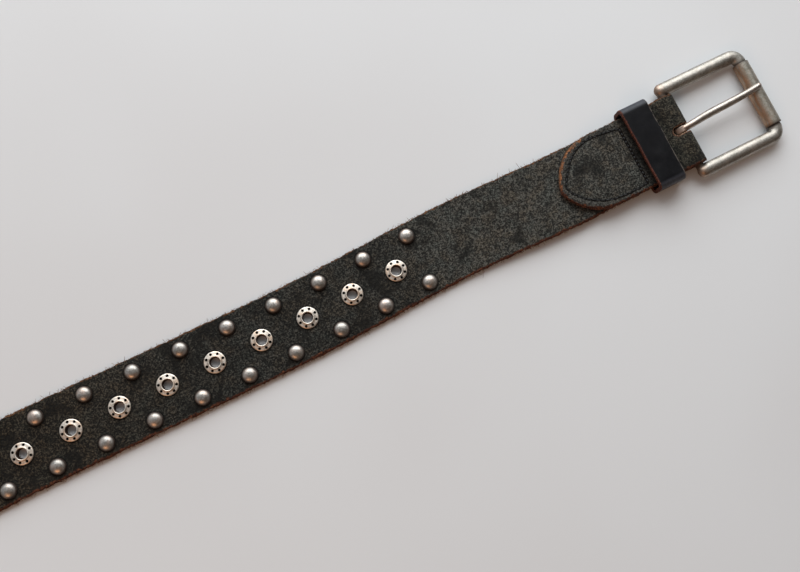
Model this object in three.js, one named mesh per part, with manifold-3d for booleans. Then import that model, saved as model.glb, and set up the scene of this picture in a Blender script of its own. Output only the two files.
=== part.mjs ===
// A studded leather belt laid out flat: a strap folded round the bar of a roller buckle and sewn back on its
// own face, a loose keeper, two rows of domed rivets and a middle row of pierced eyelets.
// Millimetres. +X runs along the belt to the buckle, +Z is up, and Z = 0 is the surface that it lies on.
// Everything is laid out from the buckle's bar, and the finished group is then centred on its own length.

import * as THREE from "three";
import { mergeVertices } from "three/addons/utils/BufferGeometryUtils.js";
import Module from "manifold-3d";

const wasm = await Module();
wasm.setup();

// Strap
const strapWidth = 40;
const strapThickness = 2.8;
const tipPointLength = 26;

// The end that folds round the bar and is sewn back on the face
const returnLength = 73.9;
const returnPointLength = 26;
const returnTipOffset = -2;
const layerGap = 0.25;
const rampLength = 70;
const rampAhead = 5;
const foldThickness = 2.4;
const foldTaper = 6.15;
const slotSideClear = 0.9;
const slotEndClear = 1.75;

// Rivets and eyelets
const rivetPitch = 25.4;
const rampToRivets = 2.3;
const eyeletCount = 15;
const studToEdge = 6.8;
const studRadius = 4.1;
const studHeight = 2.6;
const studPostRadius = 1.3;
const eyeletBoreRadius = 2.75;
const eyeletWall = 0.5;
const eyeletFlange = 2.2;
const eyeletLipHeight = 1.3;
const eyeletRimHeight = 0.7;
const piercingRadius = 0.55;
const piercingCount = 8;
const trimGap = 0.1;
const holeGap = 0.3;

// The plain run after the last eyelet, and the adjusting holes near the tip
const lastEyeletToHoles = 175.6;
const plainHoleCount = 5;
const plainHolePitch = 25.4;
const plainHoleRadius = 2.5;
const lastHoleToTip = 99.2;

// Keeper
const keeperWidth = 15.4;
const keeperWall = 2;
const keeperFromFold = 1;
const keeperSidePlay = 1.6;
const keeperPlay = 0.25;
const keeperInnerCorner = 1.6;
const tailPlay = 0.25;

// Buckle
const barRadius = 2.2;
const barPlay = 0.25;
const frameReach = 47.7;
const armWidth = 7.3;
const armThickness = 6;
const armSidePlay = 0.45;
const armHeel = 1;
const cornerRadius = 4.4;
const frontShoulder = 0.8;
const rollerRadius = 4.3;
const rollerWall = 0.95;
const rollerPlay = 0.5;
const rollerEndPlay = 0.3;
const tableClear = 0.3;

// Prong
const prongEyeWall = 1.5;
const prongEyePlay = 0.35;
const prongShankRadius = 1.9;
const prongSwell = 0.15;
const prongOverhang = 1.5;
const prongSkewDegrees = 3.2;
const prongOffset = 0.3;
const prongRest = 0.15;

// Sides of the faceted rounds
const studSides = 9;
const eyeletSides = 12;
const piercingSides = 5;
const postHoleSides = 6;
const holeSides = 10;
const roundSides = 16;
const armSides = 10;
const shankSides = 10;
const arcSteps = 6;
const heelSteps = 3;

// The strap isn't ruler straight on the table. Each row is a crest: its distance from the bar as a share of
// barToTip, and how far the strap has strayed sideways there as a share of strapWidth.
const swayCrests = [
  { along: 0.03, aside: 0 },
  { along: 0.08, aside: -0.012 },
  { along: 0.145, aside: 0.028 },
  { along: 0.25, aside: -0.035 },
  { along: 0.42, aside: 0.01 },
  { along: 0.52, aside: -0.015 },
  { along: 0.62, aside: 0.012 },
  { along: 0.75, aside: 0 },
  { along: 1, aside: 0 },
];

// How far each eyelet was turned when it was set, in degrees, from the buckle end on. The list repeats.
const eyeletTurns = [-4, -4, -5, -9, -11, 7, 9, -16, -4, 6, -12];

// Worked out from the sizes above: distances from the bar
const barToFirstEyelet = returnLength + rampAhead + rampLength + rampToRivets + studRadius + rivetPitch / 2;
const barToFirstHole = barToFirstEyelet + (eyeletCount - 1) * rivetPitch + lastEyeletToHoles;
const barToTip = barToFirstHole + (plainHoleCount - 1) * plainHolePitch + lastHoleToTip;

// The fold and the buckle
const halfWidth = strapWidth / 2;
const foldInner = barRadius + barPlay;
const foldOuter = foldInner + foldThickness;
const foldNeck = foldOuter + foldTaper;
const onKeeper = keeperWall + keeperPlay + strapThickness + layerGap / 2;
const barHeight = Math.max(onKeeper, foldOuter + tableClear, armThickness / 2 + tableClear);
const liftedBottom = barHeight - layerGap / 2 - strapThickness;
const returnTop = barHeight + layerGap / 2 + strapThickness;
const frontHeight = Math.max(rollerRadius, armThickness / 2);
const frameTilt = Math.asin((barHeight - frontHeight) / frameReach);
const armCentre = halfWidth + armSidePlay + armWidth / 2;
const rollerLength = 2 * (armCentre - cornerRadius - frontShoulder - rollerEndPlay);
const frontBarRadius = rollerRadius - rollerWall - rollerPlay;
const prongEyeRadius = barRadius + prongEyePlay + prongEyeWall;
const prongEyeWidth = 2 * prongShankRadius;
const slotWidth = prongEyeWidth + 2 * slotSideClear;
const slotReach = prongEyeRadius + slotEndClear;

// The rivets and eyelets
const studRowOffset = halfWidth - studToEdge;
const eyeletBarrelRadius = eyeletBoreRadius + eyeletWall;
const eyeletRadius = eyeletBarrelRadius + eyeletFlange;
const piercingCircle = (eyeletBarrelRadius + eyeletRadius) / 2;

// The middle of the finished belt's length, and how far cutters reach past what they cut
const frontReach = frameReach * Math.cos(frameTilt) + Math.max(rollerRadius, armWidth / 2);
const middleX = (frontReach - barToTip) / 2;
const cutMargin = 5;

const leather = new THREE.MeshStandardMaterial({ color: 0x2b2b28, roughness: 0.9, metalness: 0 });
const keeperLeather = new THREE.MeshStandardMaterial({ color: 0x1b1c22, roughness: 0.45, metalness: 0 });
const brassyNickel = new THREE.MeshStandardMaterial({ color: 0x8f8a80, roughness: 0.4, metalness: 1 });
const brightNickel = new THREE.MeshStandardMaterial({ color: 0xcfc8bc, roughness: 0.3, metalness: 1 });

// Sideways stray of the strap's middle at a distance from the bar.
function sway(fromBar) {
  const along = fromBar / barToTip;
  const next = swayCrests.findIndex((crest) => crest.along > along);
  if (next === 0) return swayCrests[0].aside * strapWidth;
  if (next < 0) return swayCrests.at(-1).aside * strapWidth;
  const [a, b] = [swayCrests[next - 1], swayCrests[next]];
  const share = THREE.MathUtils.smoothstep(along, a.along, b.along);
  return THREE.MathUtils.lerp(a.aside, b.aside, share) * strapWidth;
}

// Height of the strap's underside at a distance from the bar. It climbs to the keeper's height before it meets
// the sewn-back end.
function underside(fromBar) {
  const rampEnd = returnLength + rampAhead;
  return liftedBottom * (1 - THREE.MathUtils.smoothstep(fromBar, rampEnd, rampEnd + rampLength));
}

function toSolid(geometry) {
  const bare = geometry.clone();
  bare.deleteAttribute("normal");
  bare.deleteAttribute("uv");
  const merged = mergeVertices(bare, 1e-4);
  return new wasm.Manifold(
    new wasm.Mesh({
      numProp: 3,
      vertProperties: merged.attributes.position.array,
      triVerts: new Uint32Array(merged.index.array),
    }),
  );
}

function toGeometry(solid) {
  const mesh = solid.getMesh();
  const geometry = new THREE.BufferGeometry();
  geometry.setAttribute("position", new THREE.BufferAttribute(mesh.vertProperties, mesh.numProp));
  geometry.setIndex(new THREE.BufferAttribute(mesh.triVerts, 1));
  return geometry;
}

// Shifts each point sideways with the strap.
function swayed(geometry) {
  const position = geometry.attributes.position;
  for (let i = 0; i < position.count; i++) {
    position.setY(i, position.getY(i) + sway(-position.getX(i)));
  }
  return geometry;
}

function cutAll(solid, cutters) {
  return cutters.reduce((left, cutter) => left.subtract(toSolid(cutter)), solid);
}

// A solid of revolution about +Z from [radius, height] pairs, listed from the top down the outside.
function turned(profile, sides) {
  const points = profile.map(([radius, height]) => new THREE.Vector2(radius, height)).reverse();
  return new THREE.LatheGeometry(points, sides).rotateX(Math.PI / 2);
}

function rodAlongZ(radius, low, high, sides) {
  return turned([[0, high], [radius, high], [radius, low], [0, low]], sides);
}

function rodAlongY(radius, length, sides) {
  return rodAlongZ(radius, -length / 2, length / 2, sides).rotateX(Math.PI / 2);
}

function named(name, geometry, material) {
  const mesh = new THREE.Mesh(geometry, material);
  mesh.name = name;
  return mesh;
}

// What is cut away round a pointed strap end: two arcs that leave the edges smoothly and meet at the tip.
function pointCutter(tipX, pointLength, tipY, low, high) {
  const shoulderX = tipX + pointLength;
  const outside = halfWidth + cutMargin;
  const shape = new THREE.Shape();
  shape.moveTo(shoulderX, -outside);
  for (const side of [-1, 1]) {
    const spread = halfWidth - side * tipY;
    const radius = (pointLength ** 2 + spread ** 2) / (2 * spread);
    const centreY = side * (halfWidth - radius);
    const atTip = Math.atan2(tipY - centreY, -pointLength);
    const tipAngle = atTip < 0 ? atTip + 2 * Math.PI : atTip;
    const edgeAngle = side < 0 ? 1.5 * Math.PI : 0.5 * Math.PI;
    const [start, end] = side < 0 ? [edgeAngle, tipAngle] : [tipAngle, edgeAngle];
    shape.absarc(shoulderX, centreY, radius, start, end, true);
  }
  shape.lineTo(shoulderX, outside);
  shape.lineTo(tipX - cutMargin, outside);
  shape.lineTo(tipX - cutMargin, -outside);
  return new THREE.ExtrudeGeometry(shape, { depth: high - low, bevelEnabled: false, curveSegments: arcSteps })
    .translate(0, 0, low);
}

// One face of the folded strap, from the main layer round the bar to the sewn-back end, as x, z points.
// halfGap is that face's distance from the middle plane between the layers.
function foldFace(radius, halfGap) {
  const distance = Math.hypot(foldNeck, halfGap);
  const reach = Math.PI - Math.atan2(halfGap, foldNeck) - Math.acos(radius / distance);
  const points = [new THREE.Vector2(-foldNeck, barHeight - halfGap)];
  const steps = 2 * arcSteps;
  for (let i = 0; i <= steps; i++) {
    const angle = THREE.MathUtils.lerp(-reach, reach, i / steps);
    points.push(new THREE.Vector2(radius * Math.cos(angle), barHeight + radius * Math.sin(angle)));
  }
  points.push(new THREE.Vector2(-foldNeck, barHeight + halfGap));
  return points;
}

// Distances from the bar where the flat run is bent, from the tip to the sewn-back end. They lie a quarter of a
// pitch from every hole, so that no bend crosses one.
function flatStations() {
  const first = barToFirstEyelet + rivetPitch / 4;
  const stations = [barToTip];
  let fromBar = first + rivetPitch * Math.floor((barToTip - tipPointLength - first) / rivetPitch);
  while (fromBar > returnLength) {
    stations.push(fromBar);
    fromBar -= rivetPitch;
  }
  stations.push(returnLength);
  return stations;
}

function makeStrap() {
  const stations = flatStations();
  const bottom = stations.map((u) => new THREE.Vector2(-u, underside(u)));
  const top = stations.map((u) => new THREE.Vector2(-u, underside(u) + strapThickness)).reverse();
  const outer = foldFace(foldOuter, layerGap / 2 + strapThickness);
  const inner = foldFace(foldInner, layerGap / 2).reverse();
  const returnEnd = [
    new THREE.Vector2(-returnLength, returnTop),
    new THREE.Vector2(-returnLength, barHeight + layerGap / 2),
  ];
  const profile = new THREE.Shape([...bottom, ...outer, ...returnEnd, ...inner, ...top]);
  const ribbon = new THREE.ExtrudeGeometry(profile, { depth: strapWidth, bevelEnabled: false, steps: 1 });
  swayed(ribbon.rotateX(Math.PI / 2).translate(0, halfWidth, 0));

  const through = [-cutMargin, returnTop + cutMargin];
  const drill = (radius, fromBar, aside, sides) =>
    rodAlongZ(radius, ...through, sides).translate(-fromBar, aside + sway(fromBar), 0);
  const slotRound = slotReach - slotWidth / 2;
  const slotLength = slotRound + foldOuter + cutMargin;
  const cutters = [
    swayed(pointCutter(-barToTip, tipPointLength, 0, ...through)),
    swayed(pointCutter(-returnLength, returnPointLength, returnTipOffset, barHeight, returnTop + cutMargin)),
    drill(slotWidth / 2, slotRound, 0, holeSides),
    new THREE.BoxGeometry(slotLength, slotWidth, 2 * (returnTop + cutMargin))
      .translate(slotLength / 2 - slotRound, 0, 0),
    ...eyeletPlaces().map((u) => drill(eyeletBarrelRadius + holeGap, u, 0, holeSides)),
    ...studPlaces().map(({ fromBar, aside }) => drill(studPostRadius + holeGap, fromBar, aside, postHoleSides)),
    ...plainHolePlaces().map((u) => drill(plainHoleRadius, u, 0, holeSides)),
  ];
  return toGeometry(cutAll(toSolid(ribbon), cutters));
}

function eyeletPlaces() {
  return Array.from({ length: eyeletCount }, (_, i) => barToFirstEyelet + i * rivetPitch);
}

// A pair of rivets stands half a pitch before each eyelet, and one more pair after the last.
function studPlaces() {
  const places = [];
  for (let i = 0; i <= eyeletCount; i++) {
    for (const side of [1, -1]) {
      const fromBar = barToFirstEyelet + (i - 0.5) * rivetPitch;
      const row = side > 0 ? "upper" : "lower";
      places.push({ fromBar, aside: side * studRowOffset, name: `stud_${row}_${i + 1}` });
    }
  }
  return places;
}

function plainHolePlaces() {
  return Array.from({ length: plainHoleCount }, (_, i) => barToFirstHole + i * plainHolePitch);
}

// A domed rivet: its post goes through the strap and ends flush with the back.
function makeStud() {
  const base = strapThickness + trimGap;
  return turned(
    [
      [0, base + studHeight],
      [studRadius * 0.54, base + studHeight * 0.84],
      [studRadius * 0.87, base + studHeight * 0.47],
      [studRadius, base],
      [studPostRadius, base],
      [studPostRadius, trimGap],
      [0, trimGap],
    ],
    studSides,
  );
}

// A pierced eyelet: a sloping flange on a barrel, with small holes on a circle near its rim.
function makeEyelet() {
  const base = strapThickness + trimGap;
  const lip = [
    [eyeletBoreRadius, base + eyeletLipHeight],
    [eyeletRadius, base + eyeletRimHeight],
    [eyeletRadius, base],
    [eyeletBarrelRadius, base],
    [eyeletBarrelRadius, trimGap],
    [eyeletBoreRadius, trimGap],
    [eyeletBoreRadius, base + eyeletLipHeight],
  ];
  const facet = (2 * Math.PI) / eyeletSides;
  const piercings = Array.from({ length: piercingCount }, (_, i) => {
    const angle = facet / 2 + (i * 2 * Math.PI) / piercingCount;
    return rodAlongZ(piercingRadius, strapThickness, base + 2 * eyeletLipHeight, piercingSides)
      .translate(piercingCircle * Math.cos(angle), piercingCircle * Math.sin(angle), 0);
  });
  return toGeometry(cutAll(toSolid(turned(lip, eyeletSides)), piercings));
}

function addTrim(belt) {
  const stud = makeStud();
  for (const { fromBar, aside, name } of studPlaces()) {
    const mesh = named(name, stud, brassyNickel);
    mesh.position.set(-fromBar, aside + sway(fromBar), 0);
    belt.add(mesh);
  }
  const eyelet = makeEyelet();
  eyeletPlaces().forEach((fromBar, i) => {
    const mesh = named(`eyelet_${i + 1}`, eyelet, brightNickel);
    mesh.position.set(-fromBar, sway(fromBar), 0);
    mesh.rotation.z = THREE.MathUtils.degToRad(eyeletTurns[i % eyeletTurns.length]);
    belt.add(mesh);
  });
}

function roundedBox(width, low, high, corner) {
  const half = width / 2;
  const shape = new THREE.Shape();
  shape.moveTo(-half + corner, low);
  shape.absarc(half - corner, low + corner, corner, -Math.PI / 2, 0, false);
  shape.absarc(half - corner, high - corner, corner, 0, Math.PI / 2, false);
  shape.absarc(-half + corner, high - corner, corner, Math.PI / 2, Math.PI, false);
  shape.absarc(-half + corner, low + corner, corner, Math.PI, 1.5 * Math.PI, false);
  return shape;
}

// The keeper is a loop round both layers, with room above them for the belt's own tail.
function makeKeeper() {
  const innerWidth = strapWidth + 2 * keeperSidePlay;
  const innerTop = returnTop + strapThickness + tailPlay;
  const outerCorner = keeperInnerCorner + keeperWall;
  const outline = roundedBox(innerWidth + 2 * keeperWall, 0, innerTop + keeperWall, outerCorner);
  outline.holes.push(roundedBox(innerWidth, keeperWall, innerTop, keeperInnerCorner));
  return new THREE.ExtrudeGeometry(outline, { depth: keeperWidth, bevelEnabled: false, curveSegments: 3 })
    .rotateX(Math.PI / 2)
    .rotateZ(Math.PI / 2)
    .translate(-foldNeck - keeperFromFold - keeperWidth, 0, 0);
}

// Stations of one side arm of the buckle, from its rounded heel behind the bar, round the front corner, to the
// roller's end. share is the station's section as a share of the full one.
function armStations(side) {
  const stations = [];
  for (let i = heelSteps; i >= 0; i--) {
    const angle = (Math.PI / 2) * (i / (heelSteps + 1));
    const x = armHeel - (armWidth / 2) * Math.sin(angle);
    stations.push({ point: new THREE.Vector3(x, side * armCentre, 0), share: Math.cos(angle) });
  }
  const cornerX = frameReach - cornerRadius;
  const cornerY = armCentre - cornerRadius;
  for (let i = 0; i <= arcSteps; i++) {
    const angle = (Math.PI / 2) * (1 - i / arcSteps);
    const x = cornerX + cornerRadius * Math.cos(angle);
    const y = side * (cornerY + cornerRadius * Math.sin(angle));
    stations.push({ point: new THREE.Vector3(x, y, 0), share: 1 });
  }
  const end = new THREE.Vector3(frameReach, side * (rollerLength / 2 + rollerEndPlay), 0);
  stations.push({ point: end, share: 1 });
  return stations;
}

// An oval rod through stations that lie in one level plane, mitred at each and flat at both ends.
function ovalRod(stations, width, thickness, sides) {
  const positions = [];
  stations.forEach(({ point, share }, i) => {
    const before = stations[Math.max(i - 1, 0)].point;
    const after = stations[Math.min(i + 1, stations.length - 1)].point;
    const arriving = point.clone().sub(before).normalize();
    const leaving = after.clone().sub(point).normalize();
    const along = arriving.add(leaving).normalize();
    for (let j = 0; j < sides; j++) {
      const angle = (2 * Math.PI * j) / sides;
      const aside = (width / 2) * share * Math.cos(angle);
      const up = (thickness / 2) * share * Math.sin(angle);
      positions.push(point.x - along.y * aside, point.y + along.x * aside, point.z + up);
    }
  });
  const index = [];
  for (let i = 0; i + 1 < stations.length; i++) {
    for (let j = 0; j < sides; j++) {
      const next = (j + 1) % sides;
      const [a, b, c, d] = [i * sides + j, i * sides + next, (i + 1) * sides + next, (i + 1) * sides + j];
      index.push(a, b, c, a, c, d);
    }
  }
  const last = (stations.length - 1) * sides;
  for (let j = 1; j + 1 < sides; j++) index.push(0, j + 1, j, last, last + j, last + j + 1);
  const geometry = new THREE.BufferGeometry();
  geometry.setAttribute("position", new THREE.Float32BufferAttribute(positions, 3));
  geometry.setIndex(index);
  return geometry;
}

function makeFrame() {
  const frontBarLength = rollerLength + 2 * rollerEndPlay + armWidth / 2;
  const bar = rodAlongY(barRadius, 2 * armCentre, armSides);
  const frontBar = rodAlongY(frontBarRadius, frontBarLength, armSides).translate(frameReach, 0, 0);
  const arms = [1, -1].map((side) => ovalRod(armStations(side), armWidth, armThickness, armSides));
  return toGeometry([bar, frontBar, ...arms].map(toSolid).reduce((joined, piece) => joined.add(piece)));
}

function makeRoller() {
  const half = rollerLength / 2;
  const inner = rollerRadius - rollerWall;
  const tube = [
    [inner, half],
    [rollerRadius, half],
    [rollerRadius, -half],
    [inner, -half],
    [inner, half],
  ];
  return turned(tube, roundSides).rotateX(Math.PI / 2);
}

// The prong: an eye round the bar and a swelling shank that climbs to rest on the roller.
function makeProng() {
  const rootHeight = prongEyeRadius - prongShankRadius;
  const restHeight = rollerRadius + prongRest + prongShankRadius;
  const climb = Math.atan2(restHeight - rootHeight, frameReach);
  const shankLength = frameReach + prongOverhang;
  const shankProfile = [
    [0, 0],
    [prongShankRadius, 0],
    [prongShankRadius + prongSwell, shankLength * 0.45],
    [prongShankRadius, shankLength - prongShankRadius],
    [prongShankRadius * 0.75, shankLength - prongShankRadius * 0.35],
    [0, shankLength],
  ].reverse();
  const shank = turned(shankProfile, shankSides)
    .rotateY(Math.PI / 2 - climb)
    .translate(0, 0, rootHeight);
  const eye = rodAlongY(prongEyeRadius, prongEyeWidth, roundSides);
  const hole = rodAlongY(prongEyeRadius - prongEyeWall, prongEyeWidth + cutMargin, roundSides);
  return toGeometry(toSolid(eye).add(toSolid(shank)).subtract(toSolid(hole)));
}

const belt = new THREE.Group();
belt.add(named("strap", makeStrap(), leather));
belt.add(named("keeper_loop", makeKeeper(), keeperLeather));
addTrim(belt);

const buckle = new THREE.Group();
buckle.position.set(0, 0, barHeight);
buckle.rotation.y = frameTilt;
buckle.add(named("buckle_frame", makeFrame(), brassyNickel));

const roller = named("roller", makeRoller(), brassyNickel);
roller.position.set(frameReach, 0, 0);
buckle.add(roller);

const prong = named("prong", makeProng(), brassyNickel);
prong.position.set(0, prongOffset, 0);
prong.rotation.z = THREE.MathUtils.degToRad(prongSkewDegrees);
buckle.add(prong);

belt.add(buckle);

const centred = new THREE.Group();
belt.position.set(-middleX, 0, 0);
centred.add(belt);

export default centred;
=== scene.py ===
"""Studded leather belt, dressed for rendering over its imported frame.

Sizes are in millimetres. A piece is modelled in the bar frame: X runs from the rear bar towards the buckle's
front, Y across the belt, and Z up from the table. Strap places are given by their distance from the bar. Each
finished mesh is then moved into the frame's own metres, and its object stays at the origin.
"""

from __future__ import annotations

import logging
import math
import random
from collections.abc import Callable, Iterable, Sequence
from dataclasses import dataclass, field
from enum import Enum
from functools import cached_property

import bmesh
import bpy
from bmesh.types import BMEdge, BMesh, BMFace, BMVert
from bpy.types import ID, Material, Mesh, Node, NodeSocket, NodeTree, Object
from mathutils import Matrix, Vector, noise

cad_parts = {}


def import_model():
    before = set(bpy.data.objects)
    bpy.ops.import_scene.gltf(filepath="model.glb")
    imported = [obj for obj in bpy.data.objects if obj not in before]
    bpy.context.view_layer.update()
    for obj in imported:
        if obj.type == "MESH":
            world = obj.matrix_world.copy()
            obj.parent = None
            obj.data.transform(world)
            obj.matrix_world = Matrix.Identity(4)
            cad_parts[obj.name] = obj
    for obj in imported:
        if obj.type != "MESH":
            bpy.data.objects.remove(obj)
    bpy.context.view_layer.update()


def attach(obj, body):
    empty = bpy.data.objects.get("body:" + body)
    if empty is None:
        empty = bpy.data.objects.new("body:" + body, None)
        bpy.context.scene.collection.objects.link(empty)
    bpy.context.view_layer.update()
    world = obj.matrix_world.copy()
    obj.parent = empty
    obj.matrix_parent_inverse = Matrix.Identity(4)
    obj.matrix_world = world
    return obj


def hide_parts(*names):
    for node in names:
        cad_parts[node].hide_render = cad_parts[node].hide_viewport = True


LOG = logging.getLogger("studded_belt")
METRES = 0.001
# Stands for any distance that is too far from a rim or seam to leave a mark.
FAR = 9.0
UP = Vector((0, 0, 1))
# Lays the axis of a lathed piece across the belt.
ACROSS = Matrix.Rotation(math.pi / 2, 4, "X")

Point = tuple[float, float]
Triple = tuple[float, float, float]
Colour = Triple
Measure = Callable[[Vector], float]


class Body(Enum):
    """The rigid bodies that the pieces ride on."""

    BELT = "belt"
    KEEPER = "keeper"
    BUCKLE = "buckle"
    ROLLER = "roller"
    PRONG = "prong"


class Slot(Enum):
    """The material slots of the record."""

    STRAP = "strap_leather"
    KEEPER = "keeper_leather"
    BUCKLE = "buckle_metal"
    RIVET = "rivet_metal"
    EYELET = "eyelet_metal"


def smoothstep(value: float, low: float, high: float) -> float:
    """Ease from 0 at low to 1 at high.

    Args:
        value: The number to ease.
        low: Where the result starts to leave 0.
        high: Where the result reaches 1.

    Returns:
        A number from 0 to 1.
    """
    share = min(max((value - low) / (high - low), 0.0), 1.0)
    return share * share * (3 - 2 * share)


def wobble(x: float, y: float, size: float, seed: float = 0.0) -> float:
    """Smooth noise from about -1 to 1.

    Args:
        x: Place along, in millimetres.
        y: Place across, in millimetres.
        size: Size of the bumps, in millimetres.
        seed: A number that gives another pattern.

    Returns:
        The noise at that place.
    """
    return noise.noise(Vector((x / size, y / size, seed * 7.31 + 0.5)))


def mesh_of(name: str, bm: BMesh) -> Mesh:
    """Write a bmesh to a new mesh and free it."""
    mesh = bpy.data.meshes.new(name)
    bm.to_mesh(mesh)
    bm.free()
    return mesh


def add_object(name: str, data: ID) -> Object:
    """Add an object with its data to the scene."""
    obj = bpy.data.objects.new(name, data)
    bpy.context.scene.collection.objects.link(obj)
    return obj


@dataclass(frozen=True)
class Layout:
    """The belt's named sizes, the same ones that its solids are made from."""

    strap_width: float = 40.0
    strap_thickness: float = 2.8
    tip_point: float = 26.0
    return_length: float = 73.9
    return_point: float = 26.0
    return_tip_offset: float = -2.0
    layer_gap: float = 0.25
    ramp_length: float = 70.0
    ramp_ahead: float = 5.0
    fold_thickness: float = 2.4
    fold_taper: float = 6.15
    rivet_pitch: float = 25.4
    ramp_to_rivets: float = 2.3
    eyelet_count: int = 15
    stud_to_edge: float = 6.8
    stud_radius: float = 4.1
    eyelet_radius: float = 5.45
    eyelet_barrel_radius: float = 3.25
    last_eyelet_to_holes: float = 175.6
    plain_hole_count: int = 5
    plain_hole_pitch: float = 25.4
    plain_hole_radius: float = 2.5
    last_hole_to_tip: float = 99.2
    keeper_wall: float = 2.0
    keeper_play: float = 0.25
    tail_play: float = 0.25
    bar_radius: float = 2.2
    bar_play: float = 0.25
    frame_reach: float = 47.7
    arm_width: float = 7.3
    arm_thickness: float = 6.0
    arm_side_play: float = 0.45
    roller_radius: float = 4.3
    roller_wall: float = 0.95
    roller_play: float = 0.5
    roller_end_play: float = 0.3
    corner_radius: float = 4.4
    front_shoulder: float = 0.8
    prong_eye_wall: float = 1.5
    prong_eye_play: float = 0.35
    prong_shank_radius: float = 1.9
    # Share of the way to the tip, and stray as a share of the width.
    sway_crests: tuple[Point, ...] = (
        (0.03, 0.0), (0.08, -0.012), (0.145, 0.028), (0.25, -0.035), (0.42, 0.01), (0.52, -0.015),
        (0.62, 0.012), (0.75, 0.0), (1.0, 0.0),
    )
    # Degrees by which the eyelets are turned, one after another.
    eyelet_turns: tuple[int, ...] = (-4, -4, -5, -9, -11, 7, 9, -16, -4, 6, -12)

    @cached_property
    def half_width(self) -> float:
        """Half of the strap's width."""
        return self.strap_width / 2

    @cached_property
    def first_eyelet(self) -> float:
        """Distance of the first eyelet from the bar."""
        ramp_end = self.return_length + self.ramp_ahead + self.ramp_length
        return ramp_end + self.ramp_to_rivets + self.stud_radius + self.rivet_pitch / 2

    @cached_property
    def first_hole(self) -> float:
        """Distance of the first plain hole from the bar."""
        return self.first_eyelet + (self.eyelet_count - 1) * self.rivet_pitch + self.last_eyelet_to_holes

    @cached_property
    def tip(self) -> float:
        """Distance of the tip from the bar."""
        return self.first_hole + (self.plain_hole_count - 1) * self.plain_hole_pitch + self.last_hole_to_tip

    @cached_property
    def fold_inner(self) -> float:
        """Radius of the fold's inner face."""
        return self.bar_radius + self.bar_play

    @cached_property
    def fold_outer(self) -> float:
        """Radius of the fold's outer face."""
        return self.fold_inner + self.fold_thickness

    @cached_property
    def fold_neck(self) -> float:
        """Distance from the bar where both layers leave the fold."""
        return self.fold_outer + self.fold_taper

    @cached_property
    def bar_height(self) -> float:
        """Height of the rear bar's axis above the table."""
        return self.keeper_wall + self.keeper_play + self.strap_thickness + self.layer_gap / 2

    @cached_property
    def lifted_bottom(self) -> float:
        """Height of the strap's underside beneath the sewn-back end."""
        return self.bar_height - self.layer_gap / 2 - self.strap_thickness

    @cached_property
    def return_top(self) -> float:
        """Height of the sewn-back end's face."""
        return self.bar_height + self.layer_gap / 2 + self.strap_thickness

    @cached_property
    def tilt(self) -> float:
        """Angle by which the buckle's front hangs below its rear bar, in radians."""
        return math.asin((self.bar_height - self.roller_radius) / self.frame_reach)

    @cached_property
    def arm_centre(self) -> float:
        """Distance of an arm's middle line from the belt's middle line."""
        return self.half_width + self.arm_side_play + self.arm_width / 2

    @cached_property
    def roller_length(self) -> float:
        """Length of the roller."""
        return 2 * (self.arm_centre - self.corner_radius - self.front_shoulder - self.roller_end_play)

    @cached_property
    def prong_eye_radius(self) -> float:
        """Outer radius of the prong's eye."""
        return self.bar_radius + self.prong_eye_play + self.prong_eye_wall

    @cached_property
    def bar_x(self) -> float:
        """The rear bar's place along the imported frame, whose origin is the middle of the belt's length."""
        front = self.frame_reach * math.cos(self.tilt) + max(self.roller_radius, self.arm_width / 2)
        return (self.tip - front) / 2

    def sway(self, from_bar: float) -> float:
        """Sideways stray of the strap's middle line.

        Args:
            from_bar: Distance from the bar.

        Returns:
            The stray, positive towards +Y.
        """
        along = from_bar / self.tip
        crests = self.sway_crests
        if along <= crests[0][0]:
            return crests[0][1] * self.strap_width
        for (a, aside_a), (b, aside_b) in zip(crests, crests[1:]):
            if along < b:
                share = smoothstep(along, a, b)
                return (aside_a + (aside_b - aside_a) * share) * self.strap_width
        return crests[-1][1] * self.strap_width

    def underside(self, from_bar: float) -> float:
        """Height of the strap's underside, which climbs to the keeper's height before the sewn-back end.

        Args:
            from_bar: Distance from the bar.

        Returns:
            The height above the table.
        """
        start = self.return_length + self.ramp_ahead
        return self.lifted_bottom * (1 - smoothstep(from_bar, start, start + self.ramp_length))

    def eyelets(self) -> list[float]:
        """Distances of the eyelets from the bar."""
        return [self.first_eyelet + i * self.rivet_pitch for i in range(self.eyelet_count)]

    def studs(self) -> list[tuple[str, float, float]]:
        """Node name, distance from the bar and place across for each domed rivet."""
        offset = self.half_width - self.stud_to_edge
        places = []
        for i in range(self.eyelet_count + 1):
            from_bar = self.first_eyelet + (i - 0.5) * self.rivet_pitch
            places.append((f"stud_upper_{i + 1}", from_bar, offset))
            places.append((f"stud_lower_{i + 1}", from_bar, -offset))
        return places

    def plain_holes(self) -> list[float]:
        """Distances of the plain adjusting holes from the bar."""
        return [self.first_hole + i * self.plain_hole_pitch for i in range(self.plain_hole_count)]

    def buckle_matrix(self) -> Matrix:
        """Transform from the buckle's own frame, with its bar at the origin, to the bar frame."""
        return Matrix.Translation((0, 0, self.bar_height)) @ Matrix.Rotation(self.tilt, 4, "Y")


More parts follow.
